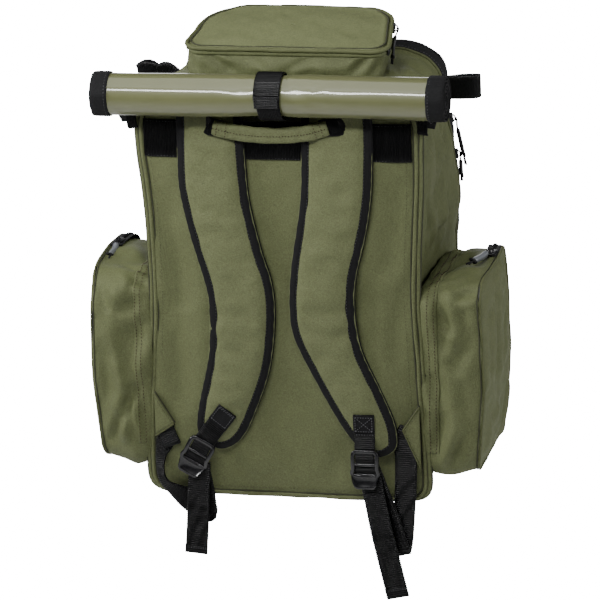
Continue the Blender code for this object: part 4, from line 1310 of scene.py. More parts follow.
def handle():
    grip = spline(GRIP, 0.0015)
    share = np.linspace(0, 1, len(grip))
    section = squared_oval(0.0104, 0.0050, 0.75, 0.85, 28)
    # a shallow groove along the outer face, for the middle row of thread
    groove = bell(section[:, 0], 0, 0.0010) * (section[:, 1] > 0) * 0.0009
    narrow = 1 - 0.10 * np.exp(-np.minimum(share, 1 - share) / 0.012)
    profile = np.broadcast_to(section, (len(grip),) + section.shape).copy()
    profile[:, :, 0] *= (narrow * (1 + 0.02 * np.sin(share * 31)))[:, None]
    profile[:, :, 1] += (0.0004 * np.sin(share * 47))[:, None] * np.sign(section[:, 1]) - groove
    # the sleeve takes the lighter olive copy: painted light
    sweep("handle_sleeve", grip, profile, "olive_painted_light", BACK, "handle",
          replaces=("handle_grip",))

    across = np.cross(tangents(grip), BACK)
    lines = [(grip + BACK * 0.0050, BACK)]
    for place in (0.045, 0.125, 0.900, 0.958):
        i = int(place * (len(grip) - 1))
        lines.append(([grip[i] + across[i] * u + BACK * 0.0049
                       for u in np.linspace(-0.0100, 0.0100, 9)], BACK))
    stitches("handle_thread", lines, "thread", "handle", length=0.0030, gap=0.0010,
             radius=0.00062, lift=0.0011)

    for side, sign in SIDES.items():
        x, _, z = grip[-1] if sign > 0 else grip[0]
        points = [(sign * 0.0860, -0.1385, 0.5300), (sign * 0.0905, -0.1408, 0.5200),
                  (sign * 0.0915, -0.1440, 0.5110), (sign * 0.0865, -0.1472, z + 0.0015),
                  (x, -0.1495, z), (x - sign * 0.010, -0.1502, z - 0.0015)]
        outs = unit([BACK, (sign * 0.15, -1, 0), (sign * 0.4, -1, 0.1), (sign * 0.5, -1, 0.2),
                     (sign * 0.2, -1, 0.1), BACK])
        webbing("handle_web_" + side, with_out(points, outs), 0.0112, "handle", thick=0.0015,
                pitch=0.0023, rib=0.0003, replaces=("handle_webbing",) if sign > 0 else ())


handle()
# row of zigzag stitching that holds the handle to the panel
zigzag = on_back(np.arange(-0.030, 0.028, 0.0021), 0.5075, 0.0012)
zigzag[::2, 2] -= 0.0016
zigzag[1::2, 2] += 0.0016
tube("handle_bartack", resample(zigzag, 0.0008), 0.00045, "thread_black", BACK, "root", sides=6)

# ================================================================ mat roll
# The roll lies along X. Angles round it start at +Y, with the top at 90 and -Y at 180 degrees.
ROLL_Y, ROLL_Z, ROLL_RADIUS = -0.1655, 0.5450, 0.0272

# dents: x, degrees, size along x, size round the roll, depth
DENTS = [(0.0420, 152, 0.0165, 0.0115, 0.0017), (-0.0300, 150, 0.0220, 0.0100, 0.0010),
         (0.1000, 150, 0.0260, 0.0090, 0.0005)]
# tucks beside the strap: x and degrees of both ends, width, depth
TUCKS = [
    (0.0290, 112, 0.0530, 142, 0.0026, 0.00027), (0.0860, 128, 0.0600, 148, 0.0026, 0.00027),
    (0.0270, 106, 0.0310, 132, 0.0022, 0.00021), (0.0800, 200, 0.0540, 184, 0.0050, 0.00036),
    (0.0300, 212, 0.0500, 196, 0.0050, 0.00027), (-0.0180, 118, -0.0380, 142, 0.0030, 0.00021),
    (-0.0180, 205, -0.0480, 190, 0.0060, 0.00021)]


def roll_sway(x):
    """How far the roll rises and dips along its length."""
    return 0.0012 * np.sin(x * 9 + 0.6)


def turned(angle, degrees):
    """Angle measured from a place on the roll, between -pi and pi."""
    return np.angle(np.exp(1j * (angle - radians(degrees))))


def on_roll(x, angle, radius):
    """Places on a cylinder round the roll's axis, and their out directions."""
    y, z = np.cos(angle), np.sin(angle)
    return xyz(x, ROLL_Y + y * radius, ROLL_Z + z * radius), xyz(0, y, z)


def mat_sheet():
    x, angle = np.meshgrid(np.linspace(-0.2105, 0.2105, 300),
                           np.linspace(0, 2 * pi, 120, endpoint=False), indexing="ij")
    place = xyz(x, np.cos(angle) * ROLL_RADIUS, np.sin(angle) * ROLL_RADIUS)
    radius = (ROLL_RADIUS + 0.00030 * waves(place * (0.5, 1, 1), 0.09, 61)
              - 0.0016 * bell(x, 0.0035, 0.030)     # pinched by the strap
              + 0.00022 * bell(x, 0.0035, 0.055) * waves(place, 0.024, 62))
    for at_x, degrees, size_x, size_round, depth in DENTS:
        radius -= depth * (bell(x, at_x, size_x)
                           * bell(turned(angle, degrees) * ROLL_RADIUS, 0, size_round))
    for x0, degrees0, x1, degrees1, width, depth in TUCKS:
        offset = np.stack([x - x0, turned(angle, degrees0) * ROLL_RADIUS], -1)
        run = np.array((x1 - x0, radians(degrees1 - degrees0) * ROLL_RADIUS))
        along = (offset @ run) / (run @ run)
        away = np.linalg.norm(offset - np.clip(along, 0, 1)[..., None] * run, axis=-1)
        fade = np.sin(pi * np.clip(along * 0.9 + 0.05, 0, 1)) ** 0.7
        radius += depth * (0.5 * bell(away, 2.0 * width, width) - bell(away, 0, width)) * fade
    # the lapped edge of the sheet, low on the panel side
    lap = turned(angle, 318)
    radius += 0.0012 * smooth(-0.05, 0.05, lap) * smooth(1.2, 0.2, lap)
    grid = on_roll(x, angle, radius)[0]
    grid[..., 2] += roll_sway(x)
    sheet("mat_sheet", grid, "pvc", (0, ROLL_Y, ROLL_Z), "mat", wrap_columns=True, solid=0.0012,
          replaces=("mat_roll",))


# section of the tape round each end of the roll: distance along x, radius
END_BINDING = np.array([
    (0.2050, 0.0274), (0.2058, 0.0286), (0.2080, 0.0291), (0.2130, 0.0290), (0.2190, 0.0291),
    (0.2240, 0.0289), (0.2272, 0.0284), (0.2282, 0.0272), (0.2272, 0.0262), (0.2230, 0.0258)])


def mat_end(side, sign):
    # rolled layers
    turns = np.linspace(0, 5.2 * 2 * pi, 260)
    radius = 0.0262 - (0.0262 - 0.0035) * turns / turns[-1]
    spiral = np.stack([on_roll(x, turns, radius)[0] for x in (
        sign * 0.200, sign * (0.2272 - 0.0006 * np.sin(turns * 0.7)))], 1)
    sheet("mat_layers_" + side, spiral, "binding", (sign * 0.21, ROLL_Y + 0.5, ROLL_Z), "mat",
          solid=0.0022)
    # woven binding
    angle = np.linspace(0, 2 * pi, 96, endpoint=False)
    ripple = 0.0004 * np.sin(angle * 5 + sign) + 0.0003 * np.sin(angle * 11)
    x, radius = END_BINDING[:, 0, None], END_BINDING[:, 1, None]
    grid = on_roll(sign * x, angle, radius + ripple)[0] + UP * roll_sway(sign * 0.21)
    sheet("mat_edge_binding_" + side, grid, "binding", (sign * 0.2166, ROLL_Y, ROLL_Z), "mat",
          wrap_columns=True, solid=0.0010, replaces=("mat_binding_" + side,))
    line = on_roll(sign * 0.2085, np.linspace(0, 2 * pi, 97), 0.0293)
    stitches("mat_edge_thread_" + side, [line], "thread_black", "mat", radius=0.0003)


mat_sheet()
for side, sign in SIDES.items():
    mat_end(side, sign)


def strap_round(name, start, end, radius, half, x, lean=0.0, before=(), after=(), **more):
    """Webbing round the roll between two angles in degrees.

    lean is the shift along x per radian; before and after are extra rows at the ends.
    """
    angle = np.radians(np.linspace(start, end, max(int(abs(end - start) / 8), 4)))
    rows = with_out(*on_roll(x + lean * (angle - angle[0]), angle, radius))
    webbing(name, [*before, *rows, *after], half, "root", thick=0.0016, wave=0.006, **more)


# centre strap: ribbed webbing over the top, a stitched doubled section on the -Y face,
# hook-and-loop below
strap_round("mat_strap_web", 18, 176, radius=0.0298, half=0.0172, x=0.0030, pitch=0.0022,
            rib=0.00060, replaces=("mat_centre_strap",),
            before=[(0.0030, -0.1350, 0.5400, 0, 1, 0.1)])
strap_round("mat_strap_doubled", 166, 196, radius=0.0309, half=0.0158, x=0.0028, pitch=0.0019,
            rib=0.0009)
strap_round("mat_strap_loop", 172, 292, radius=0.0298, half=0.0150, x=0.0045, lean=0.0012,
            key="fuzz", pitch=0.0, rib=0.0, after=[(0.0062, -0.1430, 0.5180, 0, 0.3, -1)])


def mat_strap_thread():
    """A box of thread on the doubled section, filled with close rows."""
    low_x, high_x, start, end = -0.0120, 0.0176, 167.5, 194.5
    lines = [on_roll(np.linspace(low_x, high_x, 10), radians(degrees), 0.0316)
             for degrees in (start, end)]
    lines += [on_roll(x, np.radians(np.linspace(start, end, 8)), 0.0316)
              for x in (low_x, high_x)]
    lines += [on_roll(x, np.radians(np.linspace(start + 1, end - 1, 7)), 0.0318)
              for x in np.linspace(-0.0098, 0.0154, 10)]
    stitches("mat_strap_thread", lines, "thread_black", "root", length=0.0030, gap=0.0008,
             radius=0.0004)


mat_strap_thread()

# end keepers on the panel under each end of the roll, as seen on the +X side:
# x, y, z, out direction
KEEPER_STRIP = [
    (0.1885, -0.1275, 0.4895, 0, -1, 0), (0.1890, -0.1345, 0.4935, 0, -1, 0.1),
    (0.1900, -0.1358, 0.5050, 0, -1, 0), (0.1905, -0.1368, 0.5200, 0, -1, 0.1),
    (0.1905, -0.1372, 0.5320, 0, -1, 0)]
KEEPER_FOLD = [
    (0.1985, -0.1300, 0.4985, 0.3, -1, 0), (0.2010, -0.1330, 0.5060, 0.3, -1, 0),
    (0.2040, -0.1345, 0.5150, 0.4, -1, 0), (0.2050, -0.1350, 0.5260, 0.3, -1, 0)]
for side, sign in SIDES.items():
    mirror = (sign, 1, 1, sign, 1, 1)
    webbing("mat_keeper_strip_" + side, np.array(KEEPER_STRIP) * mirror, 0.0066, "root", "fuzz",
            thick=0.0022, pitch=0.0, rib=0.0, replaces=("mat_keeper_" + side,))
    webbing("mat_keeper_fold_" + side, np.array(KEEPER_FOLD) * mirror, 0.0058, "root", "binding",
            pitch=0.0021, rib=0.0002)

# ================================================================ top pocket
TOP_X, TOP_Y0, TOP_Y1 = 0.131, -0.0700, 0.0330     # half-width, near (-Y) and far (+Y) edges
TOP_TAPER = 0.006                                  # narrowing of each side towards the far edge
TOP_NEAR_RADIUS = 0.018
TOP_FAR_RADIUS = {"left": 0.038, "right": 0.062}
TOP_CENTRE = np.array((0.0, -0.020))
LID_Z = 0.5825                                     # lid seam at the near edge
LID_SLOPE = (0.6080 - LID_Z) / (TOP_Y1 - TOP_Y0)

# creases in the near wall: x, z of both ends, width, depth
TOP_WALL_CREASES = [
    (-0.108, 0.578, -0.070, 0.552, 0.0055, 0.0034), (0.112, 0.576, 0.085, 0.552, 0.0050, 0.0036),
    (0.122, 0.572, 0.112, 0.545, 0.0040, 0.0030), (0.040, 0.573, 0.000, 0.556, 0.0050, 0.0024),
    (-0.040, 0.574, -0.010, 0.556, 0.0050, 0.0020), (-0.124, 0.572, -0.116, 0.545, 0.0040, 0.0026)]


def half_plan(grow, far_radius):
    """One half of the plan outline at +X, from the middle of the near edge to that of the far."""
    x, y0, y1, near_radius = TOP_X + grow, TOP_Y0 - grow, TOP_Y1 + grow, TOP_NEAR_RADIUS
    far_x = x - TOP_TAPER
    points = [(share * (x - near_radius), y0) for share in np.linspace(0, 1, 30)[:-1]]
    for angle in np.radians(np.linspace(-90, 0, 9)):
        points.append((x - near_radius + near_radius * cos(angle),
                       y0 + near_radius + near_radius * sin(angle)))
    for share in np.linspace(0, 1, 16)[1:-1]:
        points.append((x + (far_x - x) * share,
                       y0 + near_radius + (y1 - far_radius - y0 - near_radius) * share))
    for angle in np.radians(np.linspace(0, 90, 12)):
        points.append((far_x - far_radius + far_radius * cos(angle),
                       y1 - far_radius + far_radius * sin(angle)))
    points += [((far_x - far_radius) * (1 - share), y1) for share in np.linspace(0, 1, 26)[1:]]
    return np.array(points)


def plan_loop(grow):
    """The pocket from above, in (x, y), from the middle of the near edge round +X."""
    left, right = (half_plan(grow, TOP_FAR_RADIUS[side]) for side in SIDES)
    return np.concatenate([left, right[1:-1][::-1] * (-1, 1)])


def lid_z(y, drop=0.0):
    """Height of the lid's seam, which rises to the far side."""
    return LID_Z + LID_SLOPE * (y - TOP_Y0) + 0.0042 * smooth(TOP_Y0, 0.010, y) - drop


def top_pocket():
    plan = plan_loop(0.0)
    x, y = plan.T
    out = xyz(*outward(plan).T, 0.0)
    base = xyz(x - 0.0095 * smooth(0.02, TOP_X, x) + 0.0030 * smooth(0.02, TOP_X, -x), y, HEIGHT)
    brim = xyz(x, y, lid_z(y, 0.0100))
    share = np.linspace(0, 1, 22)
    arch = np.sin(pi * share)
    wall = base[:, None] + (brim - base)[:, None] * share[None, :, None]
    wall_out = np.repeat(out[:, None], 22, 1)
    bulge = 0.0030 * arch ** 0.8 + 0.0022 * waves(wall * (0.6, 1, 1.6), 0.06, 71) * arch
    wall = wall + wall_out * bulge[..., None]
    wall = wall + wall_out * (
        0.0030 * slack(wall * (0.8, 1, 0.7), 0.050, 73) * arch ** 0.8)[..., None]
    wall = creases(wall, wall_out, (0, 2), TOP_WALL_CREASES, smooth(0.3, 0.8, -wall_out[..., 1]))
    # the wall takes the darker olive copy: painted shade under the lid
    sheet("top_pocket_wall", wall, "olive_wall_painted_shade", (0, -0.02, 0.57), "root", wrap_rows=True,
          solid=0.0014, replaces=("top_pocket",))
    floor_xy = inward_rings(plan, TOP_CENTRE, np.linspace(0.02, 0.99, 10))
    sheet("top_pocket_floor", xyz(floor_xy[..., 0], floor_xy[..., 1], HEIGHT + 0.0012), "lining",
          (0, 0, 0.3), "root", wrap_rows=True, solid=0.0008)
    tube("top_pocket_base_seam", wobble(ring(base) + UP * 0.0018, 0.0004, 0.05, 75), 0.0026,
         "trim", UP, "root", closed=True)

    # zip round the three sides away from the wearer
    on_zip = y >= TOP_Y0 + 0.010
    line = xyz(x, y, lid_z(y, 0.0066))[on_zip]
    line_out = unit(out[on_zip] + UP * 0.10)
    tape = spline(line + line_out * 0.0012, 0.003)
    shares, known = np.linspace(0, 1, len(tape)), np.linspace(0, 1, len(line_out))
    tape_out = np.stack([np.interp(shares, known, column) for column in line_out.T], 1)
    flat_tape("top_zip_tape", tape, tape_out, 0.0066, "root", replaces=("top_pocket_zip",))
    coil("top_zip_coil", line + line_out * 0.0022, line_out, "root", 0.0026, 0.0013)


def top_lid():
    """Crowned lid with a skirt, piping round its edge, and a seam and thread set in from it; the
    seam is a dark line of painted shade.
    """
    plan = plan_loop(0.0005)
    shares = np.concatenate([[1.0, 0.992, 0.978, 0.955], np.linspace(0.93, 0.03, 26), [0.001]])
    flat = inward_rings(plan, TOP_CENTRE, shares)
    x, y = flat[..., 0], flat[..., 1]
    rim = np.minimum(1.0, (1 - shares) / 0.10)
    crown = np.clip(np.cos(x / TOP_X * pi / 2), 0, 1) ** 0.8 * smooth(-0.06, TOP_Y1, y)
    z = (lid_z(y) - 0.0012 + 0.0040 * (1 - shares ** 2.2) + 0.0034 * crown
         + 0.0016 * np.sin(pi * rim) - 0.0030 * (1 - smooth(0, 0.5, rim)))
    grid = xyz(x, y, z)
    inside = smooth(0.0, 0.02, np.minimum(TOP_X - np.abs(x), np.minimum(y - TOP_Y0, TOP_Y1 - y)))
    grid = grid + UP * ((0.0013 * waves(grid * (0.7, 1, 1), 0.075, 81)
                         + 0.0004 * waves(grid, 0.03, 82)) * inside)[..., None]
    skirt = np.stack([grid[:, 0] - UP * 0.0052, grid[:, 0] - UP * 0.0026], 1)
    grid = np.concatenate([skirt, grid], 1)
    # the lid takes the lighter olive copy: painted light on its top
    sheet("top_lid_cover", grid, "olive_painted_light", (0, -0.02, 0.55), "top_lid", wrap_rows=True,
          solid=0.0014, replaces=("top_lid",))

    edge = plan * (1.004, 1.0) + outward(plan) * 0.0006
    edge = xyz(edge[:, 0], edge[:, 1], lid_z(plan[:, 1], 0.0016))
    tube("top_lid_piping", wobble(ring(edge), 0.0003, 0.05, 85), 0.0029, "trim", UP, "top_lid",
         closed=True)
    thread = TOP_CENTRE + (plan - TOP_CENTRE) * (0.962, 0.915)
    heights = np.array([
        grid[..., 2].reshape(-1)[np.argmin((grid[..., 0] - a) ** 2 + (grid[..., 1] - b) ** 2)]
        for a, b in thread])
    stitches("top_lid_thread", [(xyz(*thread.T, heights + 0.0003), UP)], "thread_olive",
             "top_lid")
    # dark line along the seam: painted shade in its fold
    seam = TOP_CENTRE + (plan - TOP_CENTRE) * (0.972, 0.935)
    tube("top_lid_seam", ring(xyz(*seam.T, heights + 0.0002)), 0.0009, "groove", UP, "top_lid",
         closed=True, sides=8)


top_pocket()
top_lid()
slider_and_puller("top", base=(TOP_X - 0.0030, -0.005, lid_z(-0.005, 0.0070)), out=(1, 0, 0),
                  run=(-0.10, 0.02, -0.995), drop=0.0046, length=0.0500, tube_radius=0.0027,
                  tube_key="tube_dark", reach=(0.22, 0.80))

# ================================================================ front door and its pocket
DOOR_Y = 0.1250
# creases in the door: x, z of both ends
DOOR_CREASES = [
    (-0.150, 0.46, -0.08, 0.40), (0.140, 0.49, 0.09, 0.40), (-0.03, 0.43, 0.05, 0.38),
    (0.160, 0.30, 0.145, 0.20), (-0.165, 0.25, -0.148, 0.12)]


def front_door():
    row_z = 0.0042 + (HEIGHT - 0.0055) * np.linspace(0, 1, 110)
    half = rounded_half(row_z, front_half(row_z), DOOR_TOP_RADIUS, BASE_RADIUS)[:, None] - 0.0010
    x = half * toward_edges(90)[None]
    z = np.repeat(row_z[:, None], 90, 1)
    gap = np.minimum(np.minimum(half - np.abs(x), HEIGHT - z), z)
    place = xyz(x, 0.0, z)
    puff = (0.0060 * (1 - np.exp(-np.clip(gap, 0, 1) / 0.020))
            + 0.0016 * waves(place, 0.10, 91) * smooth(0, 0.04, gap)
            + 0.0004 * waves(place, 0.03, 92) * smooth(0, 0.02, gap))
    rows = [(*ends, 0.010, 0.0030) for ends in DOOR_CREASES]
    grid = creases(xyz(x, DOOR_Y + puff, z), FRONT, (0, 2), rows)
    grid = grid + FRONT * (0.0016 * slack(grid, 0.09, 93) * smooth(0, 0.03, gap))[..., None]
    sheet("front_door_cover", grid, "olive", (0, 0, 0.27), "front_door", solid=0.0016,
          replaces=("front_door",))
    tube("front_door_piping", wobble(around(FRONT_LOOP, 0.1262, -0.0022), 0.0003, 0.06, 95),
         0.0030, "trim", FRONT, "front_door", closed=True)


front_door()

POCKET_X, POCKET_Z0, POCKET_Z1 = 0.130, 0.050, 0.330    # half-width, bottom and top
POCKET_BASE_Y, POCKET_Y = 0.1305, 0.168                 # y at the door and at the face
POCKET_LOW_RADIUS, POCKET_HIGH_RADIUS = 0.020, 0.030
FLAP_Z = 0.190                                          # where the flap starts


def pocket_outline():
    """Rounded rectangle in (x, z)."""
    low, high = POCKET_LOW_RADIUS, POCKET_HIGH_RADIUS
    points = []
    for centre_x, centre_z, start, radius in (
            (POCKET_X - low, POCKET_Z0 + low, -90, low),
            (POCKET_X - high, POCKET_Z1 - high, 0, high),
            (high - POCKET_X, POCKET_Z1 - high, 90, high),
            (low - POCKET_X, POCKET_Z0 + low, 180, low)):
        for angle in np.radians(np.linspace(start, start + 90, 10)):
            points.append((centre_x + radius * cos(angle), 0.0, centre_z + radius * sin(angle)))
    return ring(np.array(points), 0.006)[:, [0, 2]]


def front_face(name, z0, z1, body, **more):
    """The outer face of the pocket between two heights."""
    row_z = np.linspace(z0, z1, 50)
    half = rounded_half(row_z, POCKET_X, POCKET_HIGH_RADIUS, POCKET_LOW_RADIUS, POCKET_Z0,
                        POCKET_Z1)[:, None]
    x = half * np.linspace(-1, 1, 60)[None]
    z = np.repeat(row_z[:, None], 60, 1)
    gap = np.minimum(np.minimum(half - np.abs(x), POCKET_Z1 - z), z - POCKET_Z0)
    inside = smooth(0, 0.03, gap)
    puff = (0.0055 * (1 - np.exp(-np.clip(gap, 0, 1) / 0.022))
            + 0.0012 * waves(xyz(x, 0.0, z), 0.08, 111) * inside)
    grid = xyz(x, POCKET_Y + 0.0004 + puff, z)
    grid = grid + FRONT * (0.0018 * slack(grid, 0.08, 113) * inside)[..., None]
    grid = creases(grid, FRONT, (0, 2), [(-0.11, 0.20, -0.05, 0.15, 0.009, 0.0026),
                                         (0.11, 0.24, 0.06, 0.16, 0.009, 0.0026)])
    sheet(name, grid, "olive", (0, 0.1, 0.19), body, solid=0.0014, **more)


def front_pocket():
    outline = pocket_outline()
    out = at_depth(outward(outline), 0.0)
    share = np.linspace(0, 1, 16)
    arch = np.sin(pi * share)
    grid = at_depth(outline[:, None], POCKET_BASE_Y + (POCKET_Y - POCKET_BASE_Y) * share)
    bulge = 0.0035 * arch + 0.0012 * waves(grid, 0.06, 101) * arch
    sheet("front_pocket_gusset", grid + out[:, None] * bulge[..., None], "olive", (0, 0.15, 0.19),
          "front_door", wrap_rows=True, solid=0.0014, replaces=("front_pocket",))
    front_face("front_pocket_face", POCKET_Z0 + 0.0006, FLAP_Z + 0.0005, "front_door")
    front_face("front_flap_cover", FLAP_Z, POCKET_Z1 - 0.0008, "front_flap",
               replaces=("front_pocket_flap",))

    # zip from +X over the top to -X
    order = sorted([i for i in range(len(outline)) if outline[i, 1] > 0.188],
                   key=lambda i: np.arctan2(outline[i, 1] - 0.17, outline[i, 0]))
    line, line_out = at_depth(outline[order], POCKET_Y - 0.0060), out[order]
    flat_tape("front_zip_tape", line + line_out * 0.0028, line_out, 0.0085, "front_door",
              replaces=("front_pocket_zip",))
    coil("front_zip_coil", line + line_out * 0.0038, line_out, "front_door")
    for name, y, radius, amount, seed in (
            ("piping", POCKET_Y + 0.0006, 0.0022, 0.0003, 115),
            ("base_seam", POCKET_BASE_Y + 0.0030, 0.0026, 0.0004, 116)):
        line = wobble(ring(at_depth(outline, y)), amount, 0.05, seed)
        tube("front_pocket_" + name, line, radius, "trim", FRONT, "front_door", closed=True)


front_pocket()
slider_and_puller("front_pocket", base=(0.085, POCKET_Y - 0.0060, POCKET_Z1 + 0.0036),
                  out=(0, 0, 1), run=(1, 0, 0), drop=0.0020, length=0.0315)

# ================================================================ side pockets
SIDE_Z0 = 0.0380            # bottom of the pockets
SIDE_WALL_X = 0.1770        # where their walls meet the body
SIDE_COLUMNS = 30           # columns of the wall grid, from the body out
FAR_TOP_RADIUS = 0.030

# creases in the near (-Y) wall: distance from the middle and z of both ends, width, depth
SIDE_WALL_FOLDS = {
    "right": [
        (0.216, 0.307, 0.197, 0.284, 0.0060, 0.0052), (0.200, 0.284, 0.181, 0.277, 0.0055, 0.0044),
        (0.226, 0.242, 0.192, 0.261, 0.0110, 0.0044), (0.192, 0.239, 0.226, 0.176, 0.0140, 0.0066),
        (0.188, 0.216, 0.215, 0.154, 0.0100, 0.0044), (0.204, 0.143, 0.237, 0.064, 0.0070, 0.0056),
        (0.210, 0.132, 0.207, 0.067, 0.0060, 0.0052), (0.199, 0.139, 0.191, 0.071, 0.0062, 0.0044),
        (0.243, 0.276, 0.234, 0.242, 0.0080, 0.0034), (0.244, 0.203, 0.236, 0.121, 0.0090, 0.0034)],
    "left": [
        (0.195, 0.284, 0.219, 0.226, 0.0085, 0.0062), (0.220, 0.275, 0.253, 0.283, 0.0060, 0.0044),
        (0.199, 0.255, 0.211, 0.203, 0.0080, 0.0036), (0.190, 0.174, 0.209, 0.129, 0.0100, 0.0044),
        (0.209, 0.129, 0.195, 0.062, 0.0090, 0.0044), (0.243, 0.230, 0.222, 0.174, 0.0100, 0.0036),
        (0.237, 0.098, 0.211, 0.042, 0.0080, 0.0042), (0.230, 0.163, 0.239, 0.096, 0.0090, 0.0030),
        (0.224, 0.271, 0.240, 0.230, 0.0090, 0.0034)],
}
WALL_FOLD_DEPTH = 1.35      # scale of the depths above
# creases over the top of the wall: distance from the middle and y of both ends, width, depth
SIDE_TOP_FOLDS = [
    (0.183, -0.100, 0.226, -0.085, 0.0070, 0.0034), (0.190, -0.060, 0.222, 0.020, 0.0080, 0.0036),
    (0.190, 0.000, 0.205, 0.055, 0.0060, 0.0030)]
# creases in the outer face: y, z of both ends, width, depth
SIDE_FACE_FOLDS = {
    "right": [
        (-0.10, 0.25, -0.04, 0.18, 0.011, 0.0034), (0.03, 0.24, -0.01, 0.15, 0.011, 0.0034),
        (-0.09, 0.10, -0.03, 0.06, 0.010, 0.0030)],
    "left": [
        (-0.105, 0.250, -0.095, 0.150, 0.010, 0.0034),
        (-0.060, 0.270, -0.045, 0.130, 0.011, 0.0036),
        (0.020, 0.270, -0.005, 0.150, 0.011, 0.0034),
        (-0.105, 0.130, -0.050, 0.070, 0.010, 0.0032), (0.03, 0.12, -0.02, 0.06, 0.009, 0.0026)],
}
# flange that sews the pocket to the body: share of the wall's width, lift
FLANGE = [(0.0, 0.0010), (0.04, 0.0022), (0.10, 0.0016), (0.144, 0.0013), (0.20, 0.0018),
          (0.248, 0.0013), (0.282, 0.0019), (0.296, 0.0012), (0.298, 0.0002)]
# flange thread rows, as shares of the wall's width; the puller's direction along x (away from
# the pack) and z, its drop and its length
SIDE_DETAIL = {"left": ((0.144, 0.248), -0.35, 0, 0.0040, 0.0620),
               "right": ((0.180, 0.266), 0.06, -0.10, 0.0085, 0.0520)}
NEAR_EDGE_COUNT, CORNER_COUNT = 60, 14      # points up the near edge and round each top corner


def side_outline(y0, y1, z0, z1, near_radius, base_radius):
    """Outline in (y, z), from the low near corner up the near side, over the top and down the
    far side. Point counts are fixed, so loops pair."""
    far_radius = FAR_TOP_RADIUS

    def straight(start, end, count):
        return np.linspace(start, end, count, endpoint=False)

    def corner(y, z, radius, start, end, count):
        angle = np.radians(np.linspace(start, end, count, endpoint=False))
        return np.stack([y + radius * np.cos(angle), z + radius * np.sin(angle)], 1)

    return np.concatenate([
        straight((y0, z0 + base_radius), (y0, z1 - near_radius), NEAR_EDGE_COUNT),
        corner(y0 + near_radius, z1 - near_radius, near_radius, 180, 90, CORNER_COUNT),
        straight((y0 + near_radius, z1), (y1 - far_radius, z1), 40),
        corner(y1 - far_radius, z1 - far_radius, far_radius, 90, 0, CORNER_COUNT),
        straight((y1, z1 - far_radius), (y1, z0 + base_radius), 60),
        corner(y1 - base_radius, z0 + base_radius, base_radius, 0, -90, 10),
        straight((y1 - base_radius, z0), (y0 + base_radius, z0), 40),
        corner(y0 + base_radius, z0 + base_radius, base_radius, 270, 180, 10)])


def face_x(z):
    """Distance of the outer face from the middle of the pack."""
    return np.interp(z, [0.030, 0.060, 0.150, 0.230, 0.290],
                     [0.2465, 0.2510, 0.2590, 0.2575, 0.2545])


def side_wall(side, sign, inner, outer, edge_x):
    """The wall round the pocket, from the body to the outer face. Returns its grid and out
    directions."""
    share = np.linspace(0, 1, SIDE_COLUMNS)
    mix = share[None, :, None]
    arch = np.sin(pi * share)
    flat = inner[:, None] + (outer - inner)[:, None] * mix
    # these outlines run clockwise, so outward() points in
    out = unit(-outward(inner)[:, None] * (1 - mix) - outward(outer)[:, None] * mix)
    x = (SIDE_WALL_X + (edge_x[:, None] - SIDE_WALL_X) * share) * sign
    # less bulge over the top, with a soft change along the outline
    bulge = np.where(out[:, SIDE_COLUMNS // 2, 1] > 0.5, 0.0022, 0.0085)
    kernel = np.exp(-(np.arange(-10, 11) / 5.0) ** 2)
    bulge = np.convolve(np.concatenate([bulge[-10:], bulge, bulge[:10]]), kernel / kernel.sum(),
                        "valid")
    place = xyz(x, flat[..., 0], flat[..., 1])
    amount = bulge[:, None] * arch ** 0.9 + arch ** 0.8 * (
        0.0026 * waves(place * (1.2, 1, 0.8), 0.085, 120 + sign)
        + 0.0008 * waves(place, 0.035, 124 + sign)
        + 0.0044 * slack(place * (1.3, 1, 0.8), 0.075, 126 + sign))
    flat = flat + out * amount[..., None]
    grid = xyz(x, flat[..., 0], flat[..., 1])
    grid_out = xyz(0.0, out[..., 0], out[..., 1])
    folds = np.array(SIDE_WALL_FOLDS[side]) * (sign, 1, sign, 1, 1, WALL_FOLD_DEPTH)
    grid = creases(grid, grid_out, (0, 2), folds, smooth(0.3, 0.8, -out[..., 0]))
    folds = np.array(SIDE_TOP_FOLDS) * (sign, 1, sign, 1, 1, 1)
    grid = creases(grid, grid_out, (0, 1), folds, smooth(0.4, 0.9, out[..., 1]))
    sheet("side_pocket_gusset_" + side, grid, "olive", (sign * 0.21, -0.03, 0.16), "root",
          wrap_rows=True, solid=0.0015, replaces=("side_pocket_" + side,))
    return grid, grid_out


def side_face(side, sign, outer, edge_x):
    """The outer face with its piping."""
    blend = ("root", "side_flap_" + side, (0, 0, 0.182), (0, 0, 0.205))
    shares = np.concatenate([[1.0, 0.985, 0.965], np.linspace(0.94, 0.02, 40), [0.001]])
    centre = np.array((-0.034, 0.160))
    flat = inward_rings(outer, centre, shares)
    y, z = flat[..., 0], flat[..., 1]
    edge = (1 - shares) * np.linalg.norm(outer - centre, axis=1)[:, None]
    x = (face_x(z) + (edge_x - face_x(outer[:, 1]))[:, None] * np.exp(-edge / 0.05) + 0.0004
         + 0.0068 * (1 - np.exp(-edge / 0.020)) - 0.0022 * bell(z, 0.150, 0.06))
    grid = xyz(x * sign, y, z)
    out = np.array((sign, 0.0, 0.0))
    grid = grid + out * (smooth(0, 0.08, 1 - shares) * (
        0.0020 * waves(grid * (1, 1.5, 0.6), 0.085, 130 + sign)
        + 0.0006 * waves(grid, 0.035, 134 + sign)
        + 0.0026 * slack(grid * (1, 1.4, 0.7), 0.070, 136 + sign)))[..., None]
    grid = creases(grid, out, (1, 2), SIDE_FACE_FOLDS[side])
    sheet("side_pocket_face_" + side, grid, "olive", (sign * 0.2, -0.03, 0.16), wrap_rows=True,
          solid=0.0015, replaces=("side_flap_" + side,), blend=blend)
    rim = ring(xyz((edge_x + 0.0004) * sign, outer[:, 0], outer[:, 1]))
    tube("side_pocket_piping_" + side, wobble(rim, 0.0003, 0.05, 140 + sign), 0.0021, "trim",
         out, closed=True, blend=blend)


